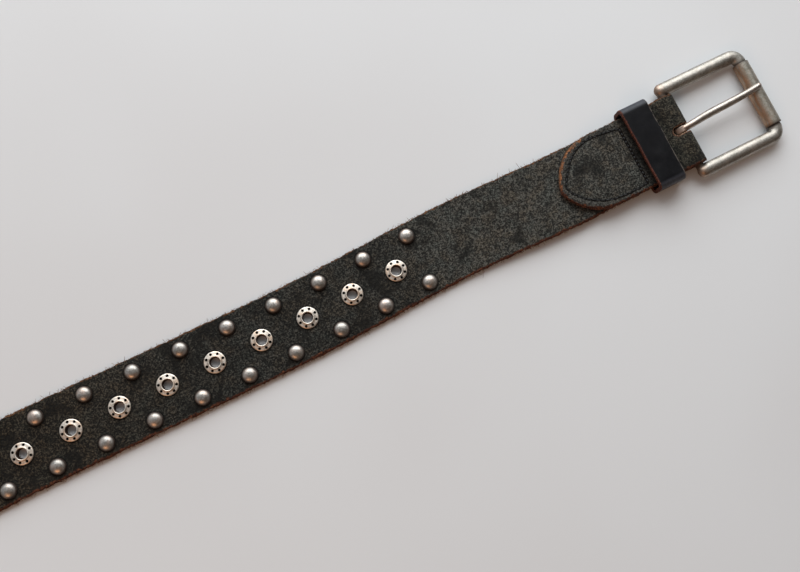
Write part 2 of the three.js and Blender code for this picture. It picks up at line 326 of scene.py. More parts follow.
@dataclass
class Workshop:
    """Turns finished bmeshes into pieces that ride on the frame."""

    layout: Layout

    def piece(self, name: str, bm: BMesh, material: Material, body: Body, slot: Slot,
              nodes: Iterable[str] = ()) -> Object:
        """Write a bmesh to a new object that rides on a body.

        Args:
            name: The object's name.
            bm: The shape, in millimetres in the bar frame. It is freed.
            material: The finish.
            body: The body that it rides on.
            slot: The record's slot that its finish belongs to. It is not used.
            nodes: The solids that it stands for.

        Returns:
            The finished object.
        """
        move = Matrix.Translation((self.layout.bar_x * METRES, 0, 0)) @ Matrix.Scale(METRES, 4)
        bmesh.ops.transform(bm, matrix=move, verts=bm.verts)
        mesh = mesh_of(name, bm)
        for polygon in mesh.polygons:
            polygon.use_smooth = True
        mesh.materials.append(material)
        obj = add_object(name, mesh)
        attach(obj, body.value)
        if nodes:
            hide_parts(*nodes)
        LOG.info("%s: %d faces", name, len(mesh.polygons))
        return obj

    @staticmethod
    def through_modifiers(bm: BMesh, dress: Callable[[Object], None]) -> BMesh:
        """Run modifiers on a bmesh and apply them.

        Args:
            bm: The shape to change. It is freed.
            dress: Adds the modifiers to a scratch object.

        Returns:
            A new bmesh with the modifiers applied.
        """
        mesh = mesh_of("scratch", bm)
        scratch = add_object("scratch", mesh)
        dress(scratch)
        bpy.context.view_layer.update()
        ready = scratch.evaluated_get(bpy.context.evaluated_depsgraph_get())
        result = bmesh.new()
        result.from_mesh(ready.to_mesh())
        ready.to_mesh_clear()
        bpy.data.objects.remove(scratch)
        bpy.data.meshes.remove(mesh)
        return result

    @staticmethod
    def cut(bm: BMesh, cutter: BMesh) -> BMesh:
        """Cut one closed shape out of another.

        Args:
            bm: The shape to cut. It is freed.
            cutter: What is taken away. It is freed.

        Returns:
            The cut shape.
        """
        mesh = mesh_of("cutter", cutter)
        tool = add_object("cutter", mesh)

        def dress(scratch: Object) -> None:
            """Add the cut."""
            modifier = scratch.modifiers.new("cut", "BOOLEAN")
            modifier.operation = "DIFFERENCE"
            modifier.solver = "EXACT"
            modifier.object = tool

        result = Workshop.through_modifiers(bm, dress)
        bpy.data.objects.remove(tool)
        bpy.data.meshes.remove(mesh)
        return result

    @staticmethod
    def cast(bm: BMesh, voxel: float, relax: int) -> BMesh:
        """Run overlapping closed shapes together into one casting with soft inside corners.

        Args:
            bm: The overlapping shapes. It is freed.
            voxel: Size of the remesh, in millimetres.
            relax: How many times the surface is smoothed.

        Returns:
            One closed shape.
        """

        def dress(scratch: Object) -> None:
            """Add the remesh."""
            modifier = scratch.modifiers.new("cast", "REMESH")
            modifier.mode = "VOXEL"
            modifier.voxel_size = voxel
            modifier.adaptivity = 0.0

        result = Workshop.through_modifiers(bm, dress)
        for _ in range(relax):
            bmesh.ops.smooth_vert(result, verts=result.verts, factor=0.5, use_axis_x=True, use_axis_y=True,
                                  use_axis_z=True)
        return result


def lathe(bm: BMesh, profile: Sequence[Point], sides: int, closed: bool = False,
          matrix: Matrix | None = None) -> None:
    """Spin a profile of radius and height pairs about Z into a closed solid.

    Args:
        bm: The bmesh that gets the solid.
        profile: Radius and height of each point, from top to bottom down the outside.
        sides: Number of faces round it.
        closed: Whether the profile is a ring that doesn't touch the axis.
        matrix: Where the solid goes.
    """
    old = set(bm.verts)
    verts = [bm.verts.new((radius, 0, height)) for radius, height in profile]
    edges = [bm.edges.new(pair) for pair in zip(verts, verts[1:])]
    if closed:
        edges.append(bm.edges.new((verts[-1], verts[0])))
    bmesh.ops.spin(bm, geom=verts + edges, cent=(0, 0, 0), axis=(0, 0, 1), angle=math.tau, steps=sides,
                   use_merge=True)
    added = [v for v in bm.verts if v not in old]
    bmesh.ops.remove_doubles(bm, verts=added, dist=1e-4)
    added = [v for v in bm.verts if v not in old]
    if matrix is not None:
        bmesh.ops.transform(bm, matrix=matrix, verts=added)
    faces = list({face for vert in added for face in vert.link_faces})
    bmesh.ops.recalc_face_normals(bm, faces=faces)


def both_ends(end: Sequence[Point], middle: Iterable[Point] = ()) -> list[Point]:
    """A profile whose lower end mirrors its upper one, with what lies between them."""
    return [*end, *middle, *((radius, -height) for radius, height in reversed(end))]


def rod(bm: BMesh, radius: float, half: float, sides: int, matrix: Matrix) -> None:
    """Add a plain cylinder about Z, of a given half length."""
    lathe(bm, both_ends([(0, half), (radius, half)]), sides, matrix=matrix)


def circle(bm: BMesh, sides: int, radius: float, matrix: Matrix) -> tuple[list[BMVert], list[BMEdge]]:
    """Add an open ring.

    Args:
        bm: The bmesh that gets the ring.
        sides: Number of its edges.
        radius: Its radius.
        matrix: Where it goes.

    Returns:
        Its vertices and edges.
    """
    made = bmesh.ops.create_circle(bm, cap_ends=False, segments=sides, radius=radius, matrix=matrix)
    ring = made["verts"]
    return ring, list({edge for vert in ring for edge in vert.link_edges})


def grow(bm: BMesh, edges: list[BMEdge]) -> tuple[list[BMVert], list[BMEdge]]:
    """Extrude a ring in place.

    Args:
        bm: The bmesh that holds the ring.
        edges: The ring's edges.

    Returns:
        The new ring's vertices and edges.
    """
    grown = bmesh.ops.extrude_edge_only(bm, edges=edges)["geom"]
    ring = [item for item in grown if isinstance(item, BMVert)]
    return ring, [item for item in grown if isinstance(item, BMEdge)]


def sweep(bm: BMesh, stations: Sequence[Matrix], sides: int) -> None:
    """Extrude a unit circle through a row of stations and cap both ends.

    Args:
        bm: The bmesh that gets the rod.
        stations: Transforms of the unit circle, which lies in its own X and Y.
        sides: Number of faces round the rod.
    """
    ring, edges = circle(bm, sides, 1.0, stations[0])
    every = list(ring)
    bmesh.ops.contextual_create(bm, geom=edges)
    for before, after in zip(stations, stations[1:]):
        ring, edges = grow(bm, edges)
        bmesh.ops.transform(bm, matrix=after @ before.inverted(), verts=ring)
        every += ring
    bmesh.ops.contextual_create(bm, geom=edges)
    faces = list({face for vert in every for face in vert.link_faces})
    bmesh.ops.recalc_face_normals(bm, faces=faces)


def frame_at(point: Vector, along: Vector, wide: float, tall: float) -> Matrix:
    """Station for a sweep in a level plane.

    Args:
        point: The middle of the section.
        along: Direction of the rod there.
        wide: Half width of the section, level.
        tall: Half height of the section, along Z.

    Returns:
        The transform of the unit circle.
    """
    along = along.normalized()
    side = UP.cross(along).normalized()
    up = along.cross(side)
    turn = Matrix((side, up, along)).transposed().to_4x4()
    return Matrix.Translation(point) @ turn @ Matrix.Diagonal((wide, tall, 1, 1))


@dataclass(frozen=True)
class PointedEnd:
    """A strap end whose edges are arcs that run from the shoulder to the point."""

    length: float
    tip_y: float
    half: float

    def _arc(self, side: int) -> Point:
        """Radius of one edge's arc and its centre's place across."""
        spread = self.half - side * self.tip_y
        radius = (self.length**2 + spread**2) / (2 * spread)
        return radius, side * (self.half - radius)

    def edge(self, x: float, side: int) -> float:
        """Place across of one edge.

        Args:
            x: Distance from the shoulder towards the point.
            side: 1 for the edge towards +Y, -1 for the other.

        Returns:
            The edge's place across.
        """
        if x <= 0:
            return side * self.half
        radius, centre = self._arc(side)
        return centre + side * math.sqrt(max(radius**2 - x**2, 0.0))

    def inset(self, x: float, y: float) -> float:
        """Distance to the nearest edge.

        Args:
            x: Distance from the shoulder towards the point. It may be negative.
            y: Place across.

        Returns:
            The distance, positive inside the outline.
        """
        if x <= 0:
            return self.half - abs(y)
        arcs = [self._arc(side) for side in (1, -1)]
        return min(radius - math.hypot(x, y - centre) for radius, centre in arcs)

    def rows(self, step: float) -> list[float]:
        """Distances from the shoulder, a step apart on the longer arc."""
        radius = self._arc(1)[0]
        last = math.asin(min(self.length / radius, 1.0))
        count = round(radius * last / step)
        return [radius * math.sin(last * i / count) for i in range(count)] + [self.length - 0.02]


class Signal:
    """A number in a material's nodes that takes ordinary arithmetic."""

    def __init__(self, board: Board, socket: NodeSocket) -> None:
        """Wrap an output socket.

        Args:
            board: The board that the socket's node stands on.
            socket: The output.
        """
        self.board = board
        self.socket = socket

    def _join(self, operation: str, first: Signal | float, second: Signal | float) -> Signal:
        """Add a Math node for an operation on two values."""
        node = self.board.add("ShaderNodeMath", {"operation": operation}, {0: first, 1: second})
        return Signal(self.board, node.outputs[0])

    def __add__(self, other: Signal | float) -> Signal:
        """Sum."""
        return self._join("ADD", self, other)

    __radd__ = __add__

    def __sub__(self, other: Signal | float) -> Signal:
        """Difference."""
        return self._join("SUBTRACT", self, other)

    def __rsub__(self, other: float) -> Signal:
        """Difference from a number."""
        return self._join("SUBTRACT", other, self)

    def __mul__(self, other: Signal | float) -> Signal:
        """Product."""
        return self._join("MULTIPLY", self, other)

    __rmul__ = __mul__

    def __abs__(self) -> Signal:
        """Size without its sign."""
        return self._join("ABSOLUTE", self, 0.0)

    def least(self, other: Signal | float) -> Signal:
        """The smaller of two values."""
        return self._join("MINIMUM", self, other)

    def most(self, other: Signal | float) -> Signal:
        """The larger of two values."""
        return self._join("MAXIMUM", self, other)

    def ease(self, low: float, high: float, start: float = 0.0, end: float = 1.0) -> Signal:
        """Ease from one value at low to another at high.

        Args:
            low: Where the result starts to change.
            high: Where it stops.
            start: The result at low and below.
            end: The result at high and above.

        Returns:
            The eased signal.
        """
        flip = high < low
        if flip:
            low, high, start, end = high, low, end, start
        values = {"Value": self, "From Min": low, "From Max": high, "To Min": start, "To Max": end}
        node = self.board.add("ShaderNodeMapRange", {"interpolation_type": "SMOOTHSTEP"}, values)
        return Signal(self.board, node.outputs[0])


Link = Signal | NodeSocket


class Board:
    """The nodes of one material or of the world."""

    def __init__(self, tree: NodeTree) -> None:
        """Empty a node tree.

        Args:
            tree: The tree to fill.
        """
        self.tree = tree
        tree.nodes.clear()

    @classmethod
    def of_material(cls, name: str) -> tuple[Material, Board]:
        """Make a material and its board.

        Args:
            name: The material's name.

        Returns:
            The material and the board.
        """
        material = bpy.data.materials.new(name)
        material.use_nodes = True
        return material, cls(material.node_tree)

    def add(self, kind: str, settings: dict | None = None, values: dict | None = None) -> Node:
        """Add a node of any type.

        Args:
            kind: The node's type.
            settings: Its properties, set first. The key stops holds a colour ramp's places and colours.
            values: A number, colour or link for each input, by name or place.

        Returns:
            The node.
        """
        node = self.tree.nodes.new(kind)
        for key, value in (settings or {}).items():
            if key == "stops":
                elements = node.color_ramp.elements
                while len(elements) > 1:
                    elements.remove(elements[-1])
                elements[0].position, elements[0].color = value[0][0], (*value[0][1], 1.0)
                for place, colour in value[1:]:
                    elements.new(place).color = (*colour, 1.0)
            else:
                setattr(node, key, value)
        for key, value in (values or {}).items():
            socket = node.inputs[key]
            if isinstance(value, Signal):
                self.tree.links.new(value.socket, socket)
            elif isinstance(value, NodeSocket):
                self.tree.links.new(value, socket)
            elif isinstance(value, tuple) and len(value) == 3 and socket.type == "RGBA":
                socket.default_value = (*value, 1.0)
            else:
                socket.default_value = value
        return node

    def place(self, centre: Triple = (0, 0, 0), turn: float = 0.0, stretch: Triple = (1, 1, 1)) -> NodeSocket:
        """Object coordinates, centred, turned about Z and stretched.

        Args:
            centre: The point that becomes the origin, in metres.
            turn: Angle in radians.
            stretch: Factor on each axis.

        Returns:
            The coordinates' output.
        """
        plain = self.add("ShaderNodeTexCoord").outputs["Object"]
        moved = self.add("ShaderNodeVectorMath", {"operation": "SUBTRACT"}, {0: plain, 1: centre}).outputs[0]
        values = {"Vector": moved, "Rotation": (0.0, 0.0, turn), "Scale": stretch}
        return self.add("ShaderNodeMapping", None, values).outputs[0]

    def attribute(self, name: str) -> Signal:
        """A number stored on the mesh."""
        node = self.add("ShaderNodeAttribute", {"attribute_name": name})
        return Signal(self, node.outputs["Fac"])

    def axis(self, vector: NodeSocket, which: str) -> Signal:
        """One part of a vector: X, Y or Z."""
        node = self.add("ShaderNodeSeparateXYZ", None, {0: vector})
        return Signal(self, node.outputs[which])

    def span(self, vector: NodeSocket, which: str) -> Signal:
        """One part of a vector in metres, as millimetres."""
        return self.axis(vector, which) * (1 / METRES)

    def along(self, origin: float) -> Signal:
        """Millimetres along X from an origin, which is given in millimetres as well."""
        return self.span(self.place((origin * METRES, 0, 0)), "X")

    def grain(self, vector: NodeSocket, size: float, detail: float = 3.0, rough: float = 0.55,
              warp: float = 0.0) -> Signal:
        """Cloudy noise.

        Args:
            vector: The coordinates, in metres.
            size: Size of the blots in millimetres.
            detail: How many finer layers are added.
            rough: How strong the finer layers are.
            warp: How much the pattern is distorted.

        Returns:
            The noise, about 0.2 to 0.8.
        """
        values = {"Vector": vector, "Scale": 1.0 / (size * METRES), "Detail": detail, "Roughness": rough,
                  "Distortion": warp}
        node = self.add("ShaderNodeTexNoise", None, values)
        return Signal(self, node.outputs[0])

    def cells(self, vector: NodeSocket, size: float, feature: str = "F1") -> Signal:
        """Distances in a field of cells.

        Args:
            vector: The coordinates, in metres.
            size: Size of a cell in millimetres.
            feature: Which distance.

        Returns:
            The distance, in cells.
        """
        values = {"Vector": vector, "Scale": 1.0 / (size * METRES)}
        node = self.add("ShaderNodeTexVoronoi", {"feature": feature}, values)
        return Signal(self, node.outputs["Distance"])

    def mix(self, factor: Link | float, first: Link | Colour, second: Link | Colour,
            blend: str = "MIX") -> Link:
        """Mix two colours.

        Args:
            factor: 0 gives the first and 1 the second.
            first: A colour.
            second: A colour.
            blend: The kind of mix.

        Returns:
            The mixed colour's output.
        """
        settings = {"data_type": "RGBA", "blend_type": blend, "clamp_factor": True}
        return self.add("ShaderNodeMix", settings, {0: factor, 6: first, 7: second}).outputs[2]

    def ramp(self, factor: Link, stops: Sequence[tuple[float, Colour]]) -> Link:
        """Colour by a number.

        Args:
            factor: The number.
            stops: Places and colours.

        Returns:
            The colour's output.
        """
        return self.add("ShaderNodeValToRGB", {"stops": stops}, {0: factor}).outputs[0]

    def relief(self, height: Signal, depth: float, strength: float = 1.0, under: Link | None = None) -> Link:
        """Bump from a height signal.

        Args:
            height: The height, about 0 to 1.
            depth: What 1 stands for, in millimetres.
            strength: How much of it is used.
            under: A relief that this one lies on.

        Returns:
            The normal's output.
        """
        values: dict = {"Height": height, "Distance": depth * METRES, "Strength": strength}
        if under is not None:
            values["Normal"] = under
        return self.add("ShaderNodeBump", None, values).outputs[0]

    def surface(self, values: dict) -> None:
        """Finish the material with one Principled shader.

        Args:
            values: The shader's inputs.
        """
        shader = self.add("ShaderNodeBsdfPrincipled", None, values)
        self.add("ShaderNodeOutputMaterial", None, {"Surface": shader.outputs[0]})


class Finish:
    """A material whose nodes a sub-class lays out."""

    def paint(self, board: Board) -> None:
        """Lay out the nodes.

        Args:
            board: The board that they stand on.
        """
        raise NotImplementedError

    def make(self, name: str) -> Material:
        """Make the material.

        Args:
            name: The material's name.

        Returns:
            The material.
        """
        material, board = Board.of_material(name)
        self.paint(board)
        return material


@dataclass(frozen=True)
class Nubuck(Finish):
    """Distressed charcoal nubuck with worn, red-brown raw edges, painted paler on the side that faces the
    window, and painted shade round its rivets and by the keeper.
    """

    bar_x: float
    pit: Colour = (0.0016, 0.0015, 0.0013)
    dark: Colour = (0.0052, 0.0050, 0.0043)
    mid: Colour = (0.0145, 0.0141, 0.0120)
    light: Colour = (0.0500, 0.0475, 0.0395)
    worn_dark: Colour = (0.0080, 0.0078, 0.0068)
    worn_mid: Colour = (0.0340, 0.0332, 0.0285)
    worn_light: Colour = (0.1200, 0.1160, 0.1000)
    oxblood: Colour = (0.0580, 0.0190, 0.0105)
    rust: Colour = (0.2200, 0.0830, 0.0370)
    tan: Colour = (0.4600, 0.2150, 0.0950)

    def _edge(self, board: Board, place: NodeSocket, base: Link, above: Signal, sewn: Signal,
              round_end: Signal) -> Link:
        """Lay the raw edge's colours over the leather, with the upper edge, which faces the window, painted
        paler and the lower edge darker.

        Args:
            board: The material's board.
            place: Object coordinates.
            base: The leather's colour.
            above: 1 on the strap's upper side, 0 on its lower side.
            sewn: 1 on the sewn-back end.
            round_end: 1 where that end is rounded.

        Returns:
            The colour with its edges.
        """
        inset = board.attribute("inset")
        streak = board.grain(place, 0.8, 3, 0.7)
        patch = board.grain(place, 4.2, 3, 0.7)
        torn = board.grain(place, 2.2, 4, 0.75).ease(0.40, 0.60)
        ragged = inset + (board.grain(place, 1.1, 3, 0.72) - 0.5) * 1.9
        reach = 0.30 + (1 - above) * 0.58 + patch.ease(0.42, 0.64) * 0.70
        reach = reach + sewn * (round_end * above * torn * 1.45 - 0.30)
        raw = (ragged - reach).ease(0.28, -0.28)
        # Painted light and shade: one red-brown edge gets darker colours on the lower side and paler ones on
        # the upper side, which faces the window.
        lower = board.ramp(streak, [(0.34, (0.010, 0.005, 0.004)), (0.50, self.oxblood), (0.70, self.rust)])
        upper = board.ramp(streak, [(0.34, (0.012, 0.007, 0.005)), (0.52, (0.085, 0.037, 0.017)),
                                    (0.70, (0.270, 0.130, 0.060))])
        sewn_upper = board.ramp(streak, [(0.32, (0.050, 0.020, 0.010)), (0.50, (0.200, 0.078, 0.034)),
                                         (0.68, self.tan)])
        upper = board.mix(sewn * round_end * (0.35 + torn * 0.65), upper, sewn_upper)
        return board.mix(raw, base, board.mix(above, lower, upper))

    def paint(self, board: Board) -> None:
        """Lay out the nodes.

        Args:
            board: The board that they stand on.
        """
        place = board.place()
        seam = board.attribute("seam")
        trim = board.attribute("trim")
        sewn = board.attribute("sewn")
        x_axis = board.span(place, "X") - self.bar_x
        y_axis = board.span(place, "Y")

        mottle = board.grain(place, 1.35, 3, 0.62, 0.35).ease(0.37, 0.63)
        fine = board.grain(place, 0.74, 2, 0.6).ease(0.36, 0.64)
        nap = board.grain(place, 0.26, 1, 0.5)
        blots = board.grain(place, 10.0, 3, 0.6, 0.5).ease(0.36, 0.64)
        tone = mottle * 0.42 + fine * 0.58
        night = board.ramp(tone, [(0.10, self.pit), (0.34, self.dark), (0.56, self.mid), (0.94, self.light)])
        day = board.ramp(tone, [(0.10, self.worn_dark), (0.46, self.worn_mid), (0.92, self.worn_light)])
        wear = x_axis.ease(-172.0, -142.0) * 0.62 + x_axis.ease(-420.0, -172.0) * 0.16
        fold_shade = x_axis.ease(-30.0, -12.0) * 0.58
        zone = (wear + blots * 0.28 - fold_shade).most(0.0).least(1.0)
        base = board.mix(zone, night, day)
        tint = board.grain(board.place((0.3, 0.1, 0)), 7.0, 3, 0.62)
        base = board.mix(tint.ease(0.50, 0.62) * 0.85, base, (1.09, 0.985, 0.89), "MULTIPLY")
        base = board.mix(tint.ease(0.47, 0.38) * 0.80, base, (0.91, 0.99, 1.02), "MULTIPLY")
        base = board.mix(x_axis.ease(-230.0, -400.0) * 0.8, base, (1.12, 0.93, 0.74), "MULTIPLY")
        base = board.mix(x_axis.ease(-20.0, -6.0) * 0.8, base, (1.04, 0.96, 0.82), "MULTIPLY")
        stains = board.grain(board.place((0.113, 0.02, 0)), 15.0, 3, 0.6, 0.6).ease(0.54, 0.65) * 0.72
        base = board.mix(stains, base, self.dark)

        # Painted shade: the leather darkens in a ring round the foot of each rivet and eyelet.
        ring = trim.ease(1.3, 0.0) * 0.75
        base = board.mix(ring, base, self.pit)
        rim = seam.ease(0.35, 0.9) * x_axis.ease(-30.0, -34.0) * sewn
        pale = board.ramp(tone, [(0.10, (0.014, 0.0135, 0.012)), (0.5, (0.044, 0.042, 0.037)),
                                 (0.92, (0.110, 0.104, 0.090))])
        base = board.mix(rim * 0.62, base, pale)
        cross = abs(x_axis + 30.3).ease(1.05, 0.45) * abs(y_axis + 0.8).ease(16.6, 15.8)
        groove = abs(seam + (fine - 0.5) * 0.25).ease(0.80, 0.34).most(cross) * sewn
        base = board.mix(groove * 0.96, base, self.pit)
        # Painted shadow of the keeper on the sewn-back end, between the cross seam and the keeper.
        base = board.mix(sewn * x_axis.ease(-31.0, -27.5) * 0.62, base, self.pit)
        base = self._edge(board, place, base, y_axis.ease(-2.0, 2.0), sewn, x_axis.ease(-48.0, -54.0))
        lip = (board.attribute("slot") + (fine - 0.5) * 0.3).ease(0.55, 0.25)
        lip_colour = board.ramp(fine, [(0.1, (0.036, 0.016, 0.009)), (0.5, (0.210, 0.108, 0.060)),
                                       (0.9, (0.440, 0.290, 0.190))])
        base = board.mix(lip, base, lip_colour)

        dimple = trim.ease(0.0, 1.9)
        height = mottle * 0.5 + fine * 0.32 + nap * 0.18
        normal = board.relief(height, 0.30, 0.9)
        normal = board.relief(dimple, 0.28, 0.9, normal)
        normal = board.relief(1 - groove, 0.35, 0.9, normal)
        rough = fine.ease(0.0, 1.0, 0.78, 0.96)
        board.surface({"Base Color": base, "Roughness": rough, "Normal": normal, "Specular IOR Level": 0.18,
                       "Sheen Weight": 0.04, "Sheen Roughness": 0.5, "Sheen Tint": (0.75, 0.72, 0.66, 1.0)})


@dataclass(frozen=True)
class KeeperHide(Finish):
    """Smooth blue-black leather with an oxblood cut edge, a worn front edge and a painted sheen on its
    rounded corners.
    """

    deep: Colour = (0.0018, 0.0018, 0.0028)
    worn: Colour = (0.0052, 0.0049, 0.0060)
    bend_sheen: Colour = (0.0780, 0.0820, 0.0960)
    oxblood: Colour = (0.0560, 0.0160, 0.0110)
    rust: Colour = (0.2300, 0.0800, 0.0400)
    bare: Colour = (0.1500, 0.1300, 0.1100)

    def paint(self, board: Board) -> None:
        """Lay out the nodes.

        Args:
            board: The board that they stand on.
        """
        place = board.place()
        inset = board.attribute("inset")
        front = board.attribute("front")
        crease = board.cells(place, 0.9, "DISTANCE_TO_EDGE")
        cloud = board.grain(place, 3.0, 3, 0.6)
        fine = board.grain(place, 0.5, 3, 0.6)
        marks = board.grain(board.place((0, 0, 0), 0.2, (1.0, 0.25, 1.0)), 0.9, 3, 0.65)
        base = board.mix(cloud.ease(0.40, 0.72) * 0.6, self.deep, self.worn)
        base = board.mix(marks.ease(0.62, 0.74) * 0.5, base, self.worn)
        across = abs(board.span(place, "Y"))
        # Painted sheen: the curved sides are lightened to blue-grey, a painted reflection of the window.
        bend = across.ease(19.6, 21.6) * across.ease(23.9, 23.2) * (0.45 + marks * 0.6)
        base = board.mix(bend * 0.75, base, self.bend_sheen)
        cut = (inset + (cloud - 0.5) * 0.9 + front * 0.75).ease(0.95, 0.55)
        edge = board.ramp(fine, [(0.34, (0.016, 0.007, 0.006)), (0.50, self.oxblood), (0.68, self.rust)])
        base = board.mix(cut, base, edge)
        scuff = (inset - 0.25).ease(0.45, 0.05) * front * marks.ease(0.38, 0.56)
        base = board.mix(scuff * 0.8, base, self.bare)
        normal = board.relief(crease.ease(0.0, 0.22) * 0.5 + fine * 0.4, 0.05, 0.6)
        normal = board.relief(marks, 0.12, 0.45, normal)
        rough = cloud.ease(0.3, 0.7, 0.33, 0.42) + cut * 0.3
        board.surface({"Base Color": base, "Roughness": rough, "Normal": normal, "Specular IOR Level": 0.19})


@dataclass(frozen=True)
class Metal(Finish):
    """Plated metal with mottling, tarnish and copper showing where the plating has gone, darkened with grime
    and painted shade where the mesh marks it.
    """

    plate: Colour = (0.500, 0.475, 0.430)
    dull: Colour = (0.285, 0.262, 0.225)
    copper: Colour = (0.430, 0.215, 0.105)
    shade_and_soot: Colour = (0.030, 0.020, 0.014)
    gloss: float = 0.36
    matte: float = 0.54
    relief: float = 0.025
    copper_share: float = 0.12
    scratches: float = 0.5
    worn_spot: Callable[[Board], Signal] | None = None

    def paint(self, board: Board) -> None:
        """Lay out the nodes.

        Args:
            board: The board that they stand on.
        """
        place = board.place()
        cloud = board.grain(place, 4.5, 4, 0.62, 0.3)
        mottle = board.grain(place, 0.9, 4, 0.7)
        fine = board.grain(place, 0.22, 2, 0.6)
        lines = board.grain(board.place((0, 0, 0), 0.6, (0.12, 1.0, 1.0)), 0.45, 2, 0.6)
        dirt = board.attribute("dirt")
        base = board.mix((mottle * 0.6 + cloud * 0.4).ease(0.38, 0.64), self.dull, self.plate)
        tint = cloud.ease(0.45, 0.68) * self.copper_share
        if self.worn_spot is not None:
            tint = tint.most((self.worn_spot(board) * (0.2 + mottle * 1.2)).least(1.0))
        base = board.mix(tint, base, self.copper)
        # Painted shade with some grime: the crevices, feet and hollows marked on the mesh are darkened
        # towards a dark brown.
        base = board.mix((dirt * (0.55 + mottle * 0.9)).least(1.0), base, self.shade_and_soot)
        specks = fine.ease(0.34, 0.27) * 0.45
        base = board.mix(specks, base, self.shade_and_soot)
        rough = (mottle * 0.6 + fine * 0.4).ease(0.32, 0.68, self.gloss, self.matte) + dirt * 0.25
        normal = board.relief(mottle * 0.7 + fine * 0.3, self.relief, 0.6)
        normal = board.relief(lines.ease(0.60, 0.72), -0.02, self.scratches, normal)
        board.surface({"Base Color": base, "Metallic": 1 - dirt * 0.6, "Roughness": rough, "Normal": normal})


@dataclass(frozen=True)
class Thread(Finish):
    """Waxed black thread with a slight twist."""

    dark: Colour = (0.004, 0.004, 0.0045)
    pale: Colour = (0.012, 0.0115, 0.011)

    def paint(self, board: Board) -> None:
        """Lay out the nodes.

        Args:
            board: The board that they stand on.
        """
        twist = board.grain(board.place((0, 0, 0), 0.8, (1.0, 0.3, 1.0)), 0.22, 2, 0.6)
        base = board.mix(twist.ease(0.45, 0.7), self.dark, self.pale)
        board.surface({"Base Color": base, "Roughness": twist.ease(0.3, 0.7, 0.45, 0.7),
                       "Normal": board.relief(twist, 0.08, 0.7)})


@dataclass(frozen=True)
class Fuzz(Finish):
    """Loose fibres of the raw leather edge."""

    dark: Colour
    bright: Colour

    def paint(self, board: Board) -> None:
        """Lay out the nodes.

        Args:
            board: The board that they stand on.
        """
        patch = board.grain(board.place(), 1.1, 3, 0.7)
        base = board.ramp(patch, [(0.35, self.dark), (0.68, self.bright)])
        board.surface({"Base Color": base, "Roughness": patch.ease(0.3, 0.7, 0.75, 0.95),
                       "Specular IOR Level": 0.15})


@dataclass
class Assembly:
    """A sub-assembly, modelled from the layout and finished in the workshop."""

    layout: Layout
    shop: Workshop


